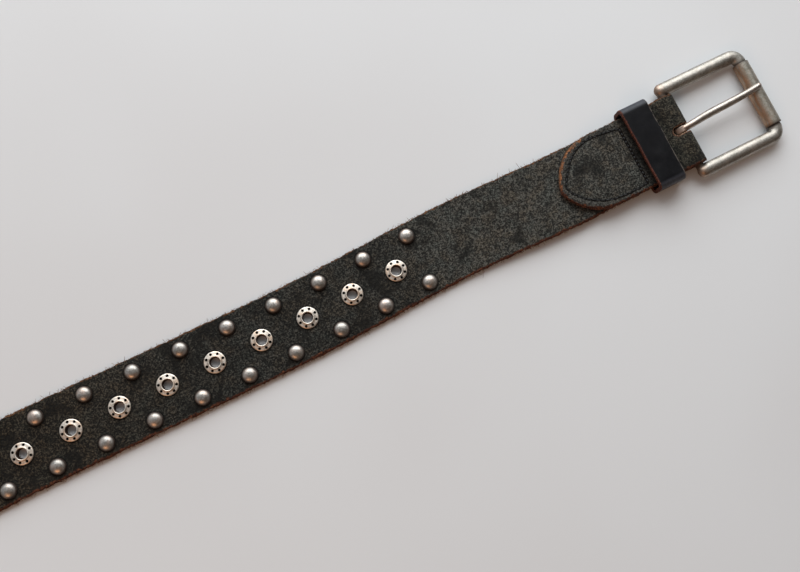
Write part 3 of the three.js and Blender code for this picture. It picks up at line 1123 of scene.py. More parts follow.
@dataclass
class Strap(Assembly):
    """The leather strap: flat run, ramp, fold round the bar and sewn-back pointed end."""

    row_step: float = 0.95
    edge_insets: tuple[float, ...] = (0.0, 0.12, 0.36, 0.8, 1.5, 2.4)
    inner_columns: int = 12
    edge_round: float = 0.85
    hole_round: float = 0.4
    probe: float = 0.02
    rim_passes: int = 3
    ragged: float = 0.75
    slot_half: float = 2.25
    slot_back: float = 5.4
    # X and Y of the stitch line's turns.
    seam_path: tuple[Point, ...] = (
        (-30.4, 15.2), (-37.6, 16.5), (-46.5, 17.4), (-53.6, 16.5), (-60.0, 13.0), (-65.4, 7.4), (-69.1, 2.1),
        (-70.2, -0.9), (-68.3, -4.7), (-63.0, -10.3), (-54.0, -15.4), (-44.3, -17.1), (-36.0, -17.3),
        (-30.2, -16.9),
    )
    table_lift: float = 0.08
    fold_straight: float = 0.31
    slot_aside: float = 0.3
    waver: float = 0.10
    waver_from: Point = (150, 190)
    settles_from: Point = (100, 150)
    sewn_from: Point = (11, 22)
    puff_from: Point = (27.0, 31.0)
    puff: float = 0.34
    seam_steps: int = 8
    seam_lip: float = 0.16
    seam_groove: float = 0.26

    @cached_property
    def main_length(self) -> float:
        """Unrolled length from the tip to the fold's neck."""
        return self.layout.tip - self.layout.fold_neck

    @cached_property
    def fold_length(self) -> float:
        """Unrolled length of the fold's middle layer."""
        middle = (self.layout.fold_inner + self.layout.fold_outer) / 2
        return 2 * self.layout.fold_neck + math.pi * middle

    @cached_property
    def fold_end(self) -> float:
        """Unrolled distance at which the sewn-back layer leaves the fold."""
        return self.main_length + self.fold_length

    @cached_property
    def full_length(self) -> float:
        """Unrolled length of the whole strap."""
        return self.fold_end + self.layout.return_length - self.layout.fold_neck

    @cached_property
    def near_slot(self) -> float:
        """Unrolled distance beyond which the slot is near."""
        return self.main_length - 3

    @cached_property
    def return_shoulder(self) -> float:
        """Unrolled distance at which the sewn-back end starts to narrow."""
        return self.full_length - self.layout.return_point

    @cached_property
    def tip_end(self) -> PointedEnd:
        """Outline of the tip."""
        return PointedEnd(self.layout.tip_point, 0.0, self.layout.half_width)

    @cached_property
    def return_end(self) -> PointedEnd:
        """Outline of the sewn-back end."""
        layout = self.layout
        return PointedEnd(layout.return_point, layout.return_tip_offset, layout.half_width)

    def rows(self) -> list[float]:
        """Unrolled distances from the tip at which the strap has a row of vertices."""
        start, end = self.layout.tip_point, self.return_shoulder
        count = round((end - start) / self.row_step)
        tip = [start - x for x in reversed(self.tip_end.rows(self.row_step))]
        middle = [start + (end - start) * i / count for i in range(1, count)]
        return tip + middle + [end + x for x in self.return_end.rows(self.row_step)]

    def outline(self, s: float) -> Point:
        """The two edges at a distance along the unrolled strap.

        Args:
            s: Distance from the tip.

        Returns:
            The lower and the upper edge's place across.
        """
        start = self.layout.tip_point
        at_tip = s < start
        end, x = (self.tip_end, start - s) if at_tip else (self.return_end, s - self.return_shoulder)
        return end.edge(x, -1), end.edge(x, 1)

    def inset(self, s: float, y: float) -> float:
        """Distance inside the strap's outline, on the unrolled strap."""
        tip = self.tip_end.inset(self.layout.tip_point - s, y)
        return min(tip, self.return_end.inset(s - self.return_shoulder, y))

    def columns(self) -> list[float]:
        """Shares of the half width at which each row has its vertices, from one edge to the other."""
        half = self.layout.half_width
        insets = list(self.edge_insets)
        last = insets[-1]
        insets += [last + (half - last) * i / self.inner_columns for i in range(1, self.inner_columns + 1)]
        shares = [1 - inset / half for inset in insets]
        return [-share for share in shares] + shares[-2::-1]

    def fold_point(self, share: float, depth: float) -> Point:
        """A point in the fold.

        Args:
            share: 0 where the main layer enters the fold, 1 where the sewn-back layer leaves it.
            depth: 0 on the outer face, 1 on the inner face.

        Returns:
            Its X and Z.
        """
        layout = self.layout
        faces = []
        for radius, gap in ((layout.fold_outer, layout.layer_gap / 2 + layout.strap_thickness),
                            (layout.fold_inner, layout.layer_gap / 2)):
            distance = math.hypot(layout.fold_neck, gap)
            reach = math.pi - math.atan2(gap, layout.fold_neck) - math.acos(radius / distance)
            straight = self.fold_straight
            if share < straight or share > 1 - straight:
                side = -1 if share < 0.5 else 1
                part = (share if side < 0 else 1 - share) / straight
                start = Vector((-layout.fold_neck, side * gap))
                end = Vector((radius * math.cos(reach), side * radius * math.sin(reach)))
                faces.append(start.lerp(end, part))
            else:
                angle = -reach + 2 * reach * (share - straight) / (1 - 2 * straight)
                faces.append(Vector((radius * math.cos(angle), radius * math.sin(angle))))
        point = faces[0].lerp(faces[1], depth)
        return point.x, layout.bar_height + point.y

    def from_bar(self, s: float) -> float:
        """Distance from the bar along X, for a place on the unrolled strap."""
        layout = self.layout
        if s <= self.main_length:
            return layout.tip - s
        if s >= self.fold_end:
            return layout.fold_neck + s - self.main_length - self.fold_length
        return -self.fold_point((s - self.main_length) / self.fold_length, 0.5)[0]

    def lay(self, s: float, y: float, h: float) -> Vector:
        """Lay a point of the unrolled strap on the table.

        Args:
            s: Distance from the tip.
            y: Place across.
            h: Height above the strap's underside, before the fold turns it over.

        Returns:
            The point in the bar frame.
        """
        layout = self.layout
        if s <= self.main_length:
            u = layout.tip - s
            waver = self.waver * wobble(u, y, 34.0, 1) * smoothstep(u, *self.waver_from)
            lift = self.table_lift * smoothstep(u, *self.settles_from)
            squeeze = (layout.strap_thickness - self.table_lift) / layout.strap_thickness
            z = layout.underside(u) + lift + h * squeeze + max(waver, 0) * h / layout.strap_thickness
            return Vector((-u, y + layout.sway(u), z))
        if s >= self.fold_end:
            u = layout.fold_neck + s - self.main_length - self.fold_length
            return Vector((-u, y + layout.sway(u), layout.return_top - h))
        x, z = self.fold_point((s - self.main_length) / self.fold_length, h / layout.strap_thickness)
        return Vector((x, y + layout.sway(-x), z))

    def seam_loop(self) -> list[Vector]:
        """The closed stitch line round the sewn-back end, smoothed, as points in X and Y."""
        corners = [Vector(point) for point in self.seam_path]
        points = []
        for i in range(len(corners) - 1):
            a = corners[max(i - 1, 0)]
            b, c = corners[i], corners[i + 1]
            d = corners[min(i + 2, len(corners) - 1)]
            for j in range(self.seam_steps):
                t = j / self.seam_steps
                points.append(0.5 * (2 * b + (c - a) * t + (2 * a - 5 * b + 4 * c - d) * t * t
                                     + (3 * b - a - 3 * c + d) * t**3))
        points.append(corners[-1])
        return points

    def seam_distance(self, loop: Sequence[Vector], x: float, y: float) -> float:
        """Signed distance to the stitch line: negative inside the loop.

        Args:
            loop: The stitch line.
            x: Place along, in the bar frame.
            y: Place across.

        Returns:
            The distance.
        """
        best = math.inf
        inside = False
        here = Vector((x, y))
        for a, b in zip(loop, [*loop[1:], loop[0]]):
            edge = b - a
            share = min(max((here - a).dot(edge) / max(edge.length_squared, 1e-9), 0.0), 1.0)
            best = min(best, (here - a - edge * share).length)
            if (a.y > y) != (b.y > y) and x < a.x + (y - a.y) / (b.y - a.y) * (b.x - a.x):
                inside = not inside
        return -best if inside else best

    def _pierce(self, bm: BMesh, inside: Measure, reach: float, s_low: float, s_high: float,
                refine: bool) -> None:
        """Cut a hole in the flat sheet and draw its rim onto the outline.

        Args:
            bm: The flat sheet.
            inside: Signed distance to the hole's outline, negative in the hole.
            reach: How far from the outline faces are divided.
            s_low: Lowest distance along the strap that the hole touches.
            s_high: Highest one.
            refine: Whether the faces round it are divided first.
        """
        def near() -> list[BMFace]:
            """Faces that may belong to the hole or its rim."""
            return [f for f in bm.faces if s_low - reach < f.calc_center_median().x < s_high + reach
                    and inside(f.calc_center_median()) < reach]

        if refine:
            edges = list({edge for face in near() for edge in face.edges})
            bmesh.ops.subdivide_edges(bm, edges=edges, cuts=1, use_grid_fill=True)
        gone = [f for f in near() if inside(f.calc_center_median()) < 0]
        rim = {v for f in gone for v in f.verts}
        bmesh.ops.delete(bm, geom=gone, context="FACES")
        rim = [v for v in rim if v.is_valid and v.link_faces]
        step = self.probe
        for vert in rim:
            for _ in range(self.rim_passes):
                here = vert.co
                distance = inside(here)
                slope = Vector((inside(here + Vector((step, 0, 0))) - distance,
                                inside(here + Vector((0, step, 0))) - distance, 0)) / step
                if slope.length > 1e-6:
                    vert.co = here - slope.normalized() * distance

    def _slot_distance(self, point: Vector) -> float:
        """Signed distance from a point of the flat sheet to the prong's slot."""
        layout = self.layout
        half = self.slot_half
        end = half - self.slot_back
        share = (point.x - self.main_length) / self.fold_length
        if 0 <= share <= 1:
            x = self.fold_point(share, 0.5)[0]
        else:
            x = -layout.fold_neck - min(abs(share), abs(share - 1)) * self.fold_length
        aside = point.y - self.slot_aside
        if x >= end:
            return abs(aside) - half
        return math.hypot(x - end, aside) - half

    def _sheet(self) -> BMesh:
        """The flat, unrolled sheet with its holes, one face thick."""
        layout = self.layout
        rows = self.rows()
        columns = self.columns()
        bm = bmesh.new()
        bmesh.ops.create_grid(bm, x_segments=len(rows) - 1, y_segments=len(columns) - 1, size=1.0)
        for vert in bm.verts:
            row = round((vert.co.x + 1) / 2 * (len(rows) - 1))
            column = round((vert.co.y + 1) / 2 * (len(columns) - 1))
            s = rows[row]
            low, high = self.outline(s)
            share = columns[column]
            y = (low + high) / 2 + (high - low) / 2 * share
            inset = max(self.inset(s, y), 0.0)
            rough = wobble(s, share, 2.6, 2) * 0.6 + wobble(s, share, 1.1, 3) * 0.5
            rough += wobble(s, share, 11, 4) * 0.6
            y += math.copysign(1, share) * rough * self.ragged * math.exp(-inset / 1.2) * (abs(share) > 0.5)
            vert.co = Vector((s, y, 0))
        bmesh.ops.remove_doubles(bm, verts=bm.verts, dist=1e-4)

        def round_hole(s: float, y: float, radius: float) -> Measure:
            """Signed distance to a round hole."""
            return lambda point: math.hypot(point.x - s, point.y - y) - radius

        rounds = (
            (layout.eyelets(), layout.eyelet_barrel_radius + 0.1, 3.0, False),
            (layout.plain_holes(), layout.plain_hole_radius, 2.5, True),
        )
        for places, radius, reach, refine in rounds:
            for u in places:
                s = layout.tip - u
                self._pierce(bm, round_hole(s, 0, radius), reach, s - radius, s + radius, refine)
        self._pierce(bm, self._slot_distance, 2.0, self.main_length, self.fold_end, True)
        return bm

    def _hole_inset(self, point: Vector) -> float:
        """Distance from a point of the sheet to the nearest hole's rim."""
        layout = self.layout
        u = layout.tip - point.x
        first, pitch = layout.first_hole, layout.plain_hole_pitch
        best = math.inf
        hole = round((u - first) / pitch)
        if 0 <= hole < layout.plain_hole_count:
            best = math.hypot(u - (first + hole * pitch), point.y) - layout.plain_hole_radius
        if point.x > self.near_slot:
            best = min(best, self._slot_distance(point))
        return max(best, 0.0)

    def _trim_distance(self, point: Vector) -> float:
        """Distance from a point of the sheet to the nearest rivet's or eyelet's rim."""
        layout = self.layout
        u = layout.tip - point.x
        first, pitch, count = layout.first_eyelet, layout.rivet_pitch, layout.eyelet_count
        best = FAR
        stud = round((u - first) / pitch - 0.5) + 0.5
        if -1 < stud < count:
            aside = abs(point.y) - (layout.half_width - layout.stud_to_edge)
            best = math.hypot(u - (first + stud * pitch), aside) - layout.stud_radius
        eyelet = round((u - first) / pitch)
        if 0 <= eyelet < count:
            best = min(best, math.hypot(u - (first + eyelet * pitch), point.y) - layout.eyelet_radius)
        return min(best, FAR)

    def build(self, material: Material) -> None:
        """Make the strap.

        Args:
            material: Its leather.
        """
        layout = self.layout
        thick = layout.strap_thickness
        bm = self._sheet()
        bmesh.ops.solidify(bm, geom=bm.faces, thickness=thick)
        names = ("inset", "seam", "trim", "sewn", "slot")
        layers = {name: bm.verts.layers.float.new(name) for name in names}
        loop = self.seam_loop()
        for vert in bm.verts:
            s, y = vert.co.x, vert.co.y
            high = abs(vert.co.z) > thick / 2
            edge = max(self.inset(s, y), 0.0)
            hole = self._hole_inset(vert.co)
            vert[layers["inset"]] = min(edge, hole + 0.25)
            vert[layers["slot"]] = self._slot_distance(vert.co) if s > self.near_slot else FAR
            vert[layers["trim"]] = self._trim_distance(vert.co) if high else FAR
            drop = max(self._fall(edge, self.edge_round), self._fall(hole, self.hole_round))
            h = thick - drop if high else drop
            u = self.from_bar(s)
            sewn = s > self.fold_end and not high
            vert[layers["sewn"]] = smoothstep(u, *self.sewn_from) if sewn else 0.0
            vert[layers["seam"]] = FAR
            place = self.lay(s, y, h)
            if sewn:
                seam = self.seam_distance(loop, -u, y)
                vert[layers["seam"]] = seam
                puff = self.puff * smoothstep(-seam, 0.4, 6.0) * (0.8 + 0.7 * wobble(s, y, 13, 5))
                lip = self.seam_lip * smoothstep(seam, 0.2, 1.2) * smoothstep(edge, 0.4, 1.4)
                groove = self.seam_groove * math.exp(-((seam / 0.75) ** 2))
                place.z += (puff + lip - groove) * smoothstep(u, *self.puff_from)
            vert.co = place
        bmesh.ops.recalc_face_normals(bm, faces=bm.faces)
        self.shop.piece("strap_hide", bm, material, Body.BELT, Slot.STRAP, ["strap"])

    @staticmethod
    def _fall(inset: float, radius: float) -> float:
        """How far a rounded edge has dropped at a distance inside it."""
        if inset >= radius:
            return 0.0
        return radius - math.sqrt(max(radius**2 - (radius - inset) ** 2, 0.0))


@dataclass
class EdgeFuzz:
    """Loose fibres that stand out of the strap's raw edges."""

    strap: Strap
    shop: Workshop
    seed: int = 20
    lower_per_mm: float = 2.5
    upper_per_mm: float = 1.7
    fibre_radius: float = 0.1
    batch: int = 40
    longest: float = 2.6
    longest_in_keeper: float = 0.9
    keeper_reach: float = 78.0
    # Distance from the bar, side and length of the longest fibres.
    whiskers: tuple[tuple[float, int, float], ...] = (
        (128.0, -1, 5.5), (131.0, -1, 4.0), (86.0, 1, 4.5), (92.0, 1, 3.2), (99.0, 1, 3.6), (152.0, -1, 3.0),
        (262.0, -1, 3.4), (351.0, 1, 3.0),
    )
    steps: int = 3
    bend: float = 0.45
    root_inset: float = 0.12
    main_heights: Point = (1.3, 2.35)
    return_heights: Point = (0.45, 1.5)
    look_ahead: float = 0.5
    shortest: float = 0.45
    dressed_length: float = 560.0
    sparse: float = 0.3
    return_density: float = 1.1

    def _fibre(self, bm: BMesh, root: Vector, heading: Vector, length: float, rng: random.Random) -> None:
        """Add one bent fibre.

        Args:
            bm: The bmesh that collects them.
            root: Where it leaves the leather.
            heading: Direction in which it leaves.
            length: Its length.
            rng: Gives its bend.
        """
        turn = heading.to_track_quat("Z", "Y").to_matrix().to_4x4()
        ring, edges = circle(bm, 3, self.fibre_radius, Matrix.Translation(root) @ turn)
        bend = Vector((rng.uniform(-1, 1), rng.uniform(-1, 1), rng.uniform(-0.5, 0.4))) * self.bend
        for _ in range(self.steps):
            ring, edges = grow(bm, edges)
            heading = (heading + bend).normalized()
            bmesh.ops.translate(bm, verts=ring, vec=heading * length / self.steps)
        bmesh.ops.pointmerge(bm, verts=ring, merge_co=sum((v.co for v in ring), Vector()) / 3)

    @staticmethod
    def _gather(bm: BMesh, small: BMesh) -> BMesh:
        """Add a small batch to the rest, which is quicker than growing one large bmesh.

        Args:
            bm: The bmesh that collects them.
            small: The batch. It is freed.

        Returns:
            An empty bmesh for the next batch.
        """
        mesh = mesh_of("batch", small)
        bm.from_mesh(mesh)
        bpy.data.meshes.remove(mesh)
        return bmesh.new()

    def _row(self, bm: BMesh, side: int, start: float, end: float, per_mm: float, main: bool,
             rng: random.Random) -> None:
        """Add fibres along one edge.

        Args:
            bm: The bmesh that collects them.
            side: 1 for the upper edge, -1 for the lower.
            start: First distance along the unrolled strap.
            end: Last one.
            per_mm: How many to a millimetre.
            main: Whether this is the main layer, whose face is its upper side.
            rng: Gives each its place and length.
        """
        strap = self.strap
        count = int((end - start) * per_mm)
        small = bmesh.new()
        for i in range(1, count + 1):
            s = rng.uniform(start, end)
            low, high = strap.outline(s)
            ahead_low, ahead_high = strap.outline(s + self.look_ahead)
            edge, ahead = (high, ahead_high) if side > 0 else (low, ahead_low)
            height = rng.uniform(*(self.main_heights if main else self.return_heights))
            root = strap.lay(s, edge - side * self.root_inset, height)
            along = strap.lay(s + self.look_ahead, ahead - side * self.root_inset, height) - root
            outward = UP.cross(along).normalized()
            if outward.y * side < 0:
                outward = -outward
            lean = along.normalized() * rng.uniform(-1.1, 1.1) + Vector((0, 0, rng.uniform(-0.25, 0.45)))
            longest = self.longest if strap.from_bar(s) > self.keeper_reach else self.longest_in_keeper
            length = min(self.shortest + rng.expovariate(2.0), longest)
            self._fibre(small, root, (outward + lean).normalized(), length, rng)
            if i % self.batch == 0 or i == count:
                small = self._gather(bm, small)

    def build(self, lower: Material, upper: Material) -> None:
        """Make the fibres of both edges and of the sewn-back end.

        Args:
            lower: Finish of the redder fibres.
            upper: Finish of the paler fibres, painted lighter because that edge faces the window.
        """
        strap = self.strap
        layout = strap.layout
        rng = random.Random(self.seed)
        dressed = layout.tip - self.dressed_length
        main_end = strap.main_length - 20
        sewn_start = strap.fold_end + 18
        sewn_end = strap.full_length - 0.6
        for side, per_mm, material, name in ((-1, self.lower_per_mm, lower, "edge_fuzz_lower"),
                                             (1, self.upper_per_mm, upper, "edge_fuzz_upper")):
            bm = bmesh.new()
            self._row(bm, side, dressed, main_end, per_mm, True, rng)
            self._row(bm, side, 3.0, dressed, per_mm * self.sparse, True, rng)
            self._row(bm, side, sewn_start, sewn_end, per_mm * self.return_density, False, rng)
            for from_bar, whisker_side, length in self.whiskers:
                if whisker_side != side:
                    continue
                heading = Vector((rng.uniform(-1.2, 1.2), side, 0.25)).normalized()
                edge = side * (layout.half_width - 0.2)
                self._fibre(bm, strap.lay(layout.tip - from_bar, edge, 1.9), heading, length, rng)
            self.shop.piece(name, bm, material, Body.BELT, Slot.STRAP)


@dataclass
class Stitching:
    """Thread round the sewn-back end and across its neck."""

    strap: Strap
    shop: Workshop
    stitch: float = 2.5
    gap: float = 0.35
    radius: float = 0.34
    cross_radius: float = 0.52
    steps: int = 6
    dip: float = 0.34
    rise: float = 0.36

    def _stitch(self, bm: BMesh, start: Vector, end: Vector, radius: float) -> None:
        """Add one stitch that dips into the leather at both ends.

        Args:
            bm: The bmesh that collects them.
            start: One end, on the leather's face.
            end: The other end.
            radius: The thread's radius.
        """
        along = end - start
        stations = []
        for i in range(self.steps + 1):
            share = i / self.steps
            arch = math.sin(math.pi * share)
            point = start + along * share + Vector((0, 0, self.rise * arch**0.6 - self.dip))
            wide, tall = radius * (0.55 + 0.45 * arch), radius * (0.5 + 0.4 * arch)
            stations.append(frame_at(point, along, wide, tall))
        sweep(bm, stations, 8)

    def build(self, material: Material) -> None:
        """Make the stitches.

        Args:
            material: The thread.
        """
        strap = self.strap
        layout = strap.layout
        bm = bmesh.new()
        loop = strap.seam_loop()
        lengths = [0.0]
        for a, b in zip(loop, loop[1:]):
            lengths.append(lengths[-1] + (b - a).length)

        def at(distance: float) -> Vector:
            """Point on the leather's face at a distance along the stitch line."""
            for i in range(1, len(loop)):
                if distance <= lengths[i]:
                    share = (distance - lengths[i - 1]) / max(lengths[i] - lengths[i - 1], 1e-6)
                    flat = loop[i - 1].lerp(loop[i], share)
                    break
            else:
                flat = loop[-1]
            return Vector((flat.x, flat.y + layout.sway(-flat.x), layout.return_top - 0.05))

        count = round(lengths[-1] / self.stitch)
        step = lengths[-1] / count
        for i in range(count):
            waver = 0.12 * math.sin(i * 2.1) + 0.07 * math.sin(i * 0.8)
            shift = Vector((waver, waver, 0))
            self._stitch(bm, at(i * step) + shift, at((i + 1) * step - self.gap) + shift, self.radius)
        low, high = loop[-1], loop[0]
        rows = round((high - low).length / (self.stitch * 0.9))
        for i in range(rows):
            a = low.lerp(high, i / rows)
            b = low.lerp(high, (i + 0.86) / rows)
            z = layout.return_top + 0.02
            self._stitch(bm, Vector((a.x, a.y, z)), Vector((b.x, b.y, z)), self.cross_radius)
        self.shop.piece("return_stitches", bm, material, Body.BELT, Slot.STRAP)


@dataclass
class Keeper(Assembly):
    """The loose leather loop that holds the belt's tail."""

    width: float = 15.4
    from_fold: float = 1.0
    side_play: float = 1.6
    inner_corner: float = 1.6
    corner_steps: int = 7
    rim_round: float = 0.35
    # Axis, least length and number of cuts of the edges that are divided.
    divisions: tuple[tuple[int, float, int], ...] = ((0, 1, 15), (1, 6, 31), (2, 3, 5))

    @staticmethod
    def _along(bm: BMesh, axis: int, least: float) -> list[BMEdge]:
        """Edges that run more than a certain length along an axis."""
        return [e for e in bm.edges if abs((e.verts[0].co - e.verts[1].co)[axis]) > least]

    def build(self, material: Material) -> None:
        """Make the keeper.

        Args:
            material: Its leather.
        """
        layout = self.layout
        wall = layout.keeper_wall
        inner_top = layout.return_top + layout.strap_thickness + layout.tail_play
        tall = inner_top + wall
        across = layout.strap_width + 2 * self.side_play + 2 * wall
        low_x = -layout.fold_neck - self.from_fold - self.width
        bm = bmesh.new()
        centre = Matrix.Translation((low_x + self.width / 2, 0, tall / 2))
        bmesh.ops.create_cube(bm, size=1.0, matrix=centre @ Matrix.Diagonal((self.width, across, tall, 1)))
        ends = [f for f in bm.faces if abs(f.normal.x) > 0.9]
        bmesh.ops.delete(bm, geom=ends, context="FACES_ONLY")
        bmesh.ops.bevel(bm, geom=self._along(bm, 0, 1), offset=self.inner_corner + wall, offset_type="OFFSET",
                        segments=self.corner_steps, profile=0.5, affect="EDGES", material=-1)
        for axis, least, cuts in self.divisions:
            bmesh.ops.subdivide_edges(bm, edges=self._along(bm, axis, least), cuts=cuts, use_grid_fill=True)
        bmesh.ops.recalc_face_normals(bm, faces=bm.faces)
        bmesh.ops.solidify(bm, geom=bm.faces, thickness=wall)
        bmesh.ops.recalc_face_normals(bm, faces=bm.faces)
        rims = []
        for edge in bm.edges:
            flat = [abs(face.normal.x) > 0.9 for face in edge.link_faces]
            if len(flat) == 2 and flat[0] != flat[1]:
                rims.append(edge)
        bmesh.ops.bevel(bm, geom=rims, offset=self.rim_round, offset_type="OFFSET", segments=3, profile=0.5,
                        affect="EDGES", material=-1)
        inset = bm.verts.layers.float.new("inset")
        front = bm.verts.layers.float.new("front")
        for vert in bm.verts:
            x, y, z = vert.co
            vert[inset] = min(x - low_x, low_x + self.width - x)
            vert[front] = smoothstep(x, low_x + self.width / 2, low_x + self.width * 0.75)
            lift = wobble(x, y, 9.0, 6) * 0.16 + wobble(x, y, 3.5, 7) * 0.05
            sag = -0.10 * (1 - (y / (across / 2)) ** 2) * (z > tall / 2)
            vert.co.z += (lift + sag) * (z > 1)
            vert.co.x += 0.22 * wobble(y, z, 8.0, 8) * (0.4 + 0.6 * (z > 2))
            vert.co.z = min(vert.co.z, tall + 0.05)
        self.shop.piece("keeper_hide", bm, material, Body.KEEPER, Slot.KEEPER, ["keeper_loop"])


@dataclass
class BuckleFrame(Assembly):
    """The cast frame: two oval arms with rounded heels, the rear bar and the roller's own bar."""

    arm_heel: float = 1.0
    heel_steps: int = 9
    corner_steps: int = 14
    sides: int = 40
    voxel: float = 0.3
    inner_side: float = 21
    arm_shares: Point = (0.35, 0.7)

    def _arm(self, side: int) -> list[Matrix]:
        """Stations of one arm, from its heel to the roller's end.

        Args:
            side: 1 for the arm towards +Y, -1 for the other.

        Returns:
            The transforms of its sections.
        """
        layout = self.layout
        wide, tall = layout.arm_width / 2, layout.arm_thickness / 2
        stations: list[tuple[Vector, Vector, float]] = []
        forward = Vector((1, 0, 0))
        for i in range(self.heel_steps, -1, -1):
            angle = math.pi / 2 * i / (self.heel_steps + 0.35)
            x = self.arm_heel - wide * math.sin(angle)
            stations.append((Vector((x, side * layout.arm_centre, 0)), forward, math.cos(angle)))
        corner_x = layout.frame_reach - layout.corner_radius
        corner_y = layout.arm_centre - layout.corner_radius
        for share in self.arm_shares:
            x = self.arm_heel + (corner_x - self.arm_heel) * share
            stations.append((Vector((x, side * layout.arm_centre, 0)), forward, 1.0))
        for i in range(self.corner_steps + 1):
            angle = math.pi / 2 * (1 - i / self.corner_steps)
            x = corner_x + layout.corner_radius * math.cos(angle)
            y = side * (corner_y + layout.corner_radius * math.sin(angle))
            along = Vector((math.sin(angle), -side * math.cos(angle), 0))
            stations.append((Vector((x, y, 0)), along, 1.0))
        end = Vector((layout.frame_reach, side * (layout.roller_length / 2 + layout.roller_end_play), 0))
        stations.append((end, Vector((0, -side, 0)), 1.0))
        return [frame_at(point, along, wide * share, tall * share) for point, along, share in stations]

    def build(self, material: Material) -> None:
        """Make the frame.

        Args:
            material: Its metal.
        """
        layout = self.layout
        bm = bmesh.new()
        for side in (1, -1):
            sweep(bm, self._arm(side), self.sides)
        rod(bm, layout.bar_radius, layout.arm_centre, self.sides, ACROSS)
        front_radius = layout.roller_radius - layout.roller_wall - layout.roller_play
        half = layout.roller_length / 2 + layout.roller_end_play + layout.arm_width / 4
        rod(bm, front_radius, half, self.sides, Matrix.Translation((layout.frame_reach, 0, 0)) @ ACROSS)
        bm = Workshop.cast(bm, self.voxel, 3)
        dirt = bm.verts.layers.float.new("dirt")
        roller_half = layout.roller_length / 2
        for vert in bm.verts:
            x, y, z = vert.co
            near_end = math.hypot(x - layout.frame_reach, abs(abs(y) - roller_half - 0.3) * 2.0)
            crevice = smoothstep(-(abs(y) - roller_half), -2.4, -0.4) * (near_end < 9)
            root = smoothstep(-math.hypot(x, z), -4.4, -2.6)
            root *= smoothstep(-(abs(y) - self.inner_side), -2.2, -0.4)
            heel = smoothstep(-x, 0.4, 2.6) * 0.45 * (abs(y) > self.inner_side)
            # Painted shade with some grime: darker where the roller's ends meet the corners, on the bar
            # inside the leather fold and at the arms' heels.
            vert[dirt] = max(crevice * 0.75, root * 0.8, heel)
            vert.co += vert.normal * (0.05 * wobble(x + y, z, 5.0, 9) + 0.02 * wobble(x, y + z, 1.6, 10))
        bmesh.ops.transform(bm, matrix=layout.buckle_matrix(), verts=bm.verts)
        self.shop.piece("buckle_casting", bm, material, Body.BUCKLE, Slot.BUCKLE, ["buckle_frame"])


@dataclass
class Roller(Assembly):
    """The rolled tube that turns on the front bar."""

    sides: int = 96
    rings: int = 24
    lip: float = 0.3
    seam_angle: float = 2.2
    seam_depth: float = 0.25

    def build(self, material: Material) -> None:
        """Make the roller.

        Args:
            material: Its metal.
        """
        layout = self.layout
        outer = layout.roller_radius
        inner = outer - layout.roller_wall
        half = layout.roller_length / 2
        lip = self.lip
        side = [(outer, half - lip - (2 * half - 2 * lip) * i / self.rings) for i in range(self.rings + 1)]
        end = [(inner, half - 0.15), (inner + 0.2, half), (outer - lip, half), (outer - 0.09, half - 0.09)]
        bm = bmesh.new()
        move = Matrix.Translation((layout.frame_reach, 0, 0)) @ ACROSS
        lathe(bm, both_ends(end, side), self.sides, closed=True, matrix=move)
        dirt = bm.verts.layers.float.new("dirt")
        for vert in bm.verts:
            x, y, z = vert.co.x - layout.frame_reach, vert.co.y, vert.co.z
            radius = math.hypot(x, z)
            angle = math.atan2(z, x)
            seam = math.exp(-(((angle + self.seam_angle) / 0.05) ** 2))
            outside = radius > outer - 0.5
            dent = 0.035 * wobble(y, angle * outer, 6.0, 11) - self.seam_depth * seam * outside
            vert.co.x += x / radius * dent
            vert.co.z += z / radius * dent
            # Painted shade with some grime at the ends, where the roller meets the frame's corners; the seam
            # is the tube's own dark joint.
            vert[dirt] = max(smoothstep(abs(y), half - 1.2, half - 0.1) * 0.7, seam)
        bmesh.ops.transform(bm, matrix=layout.buckle_matrix(), verts=bm.verts)
        self.shop.piece("roller_tube", bm, material, Body.ROLLER, Slot.BUCKLE, ["roller"])


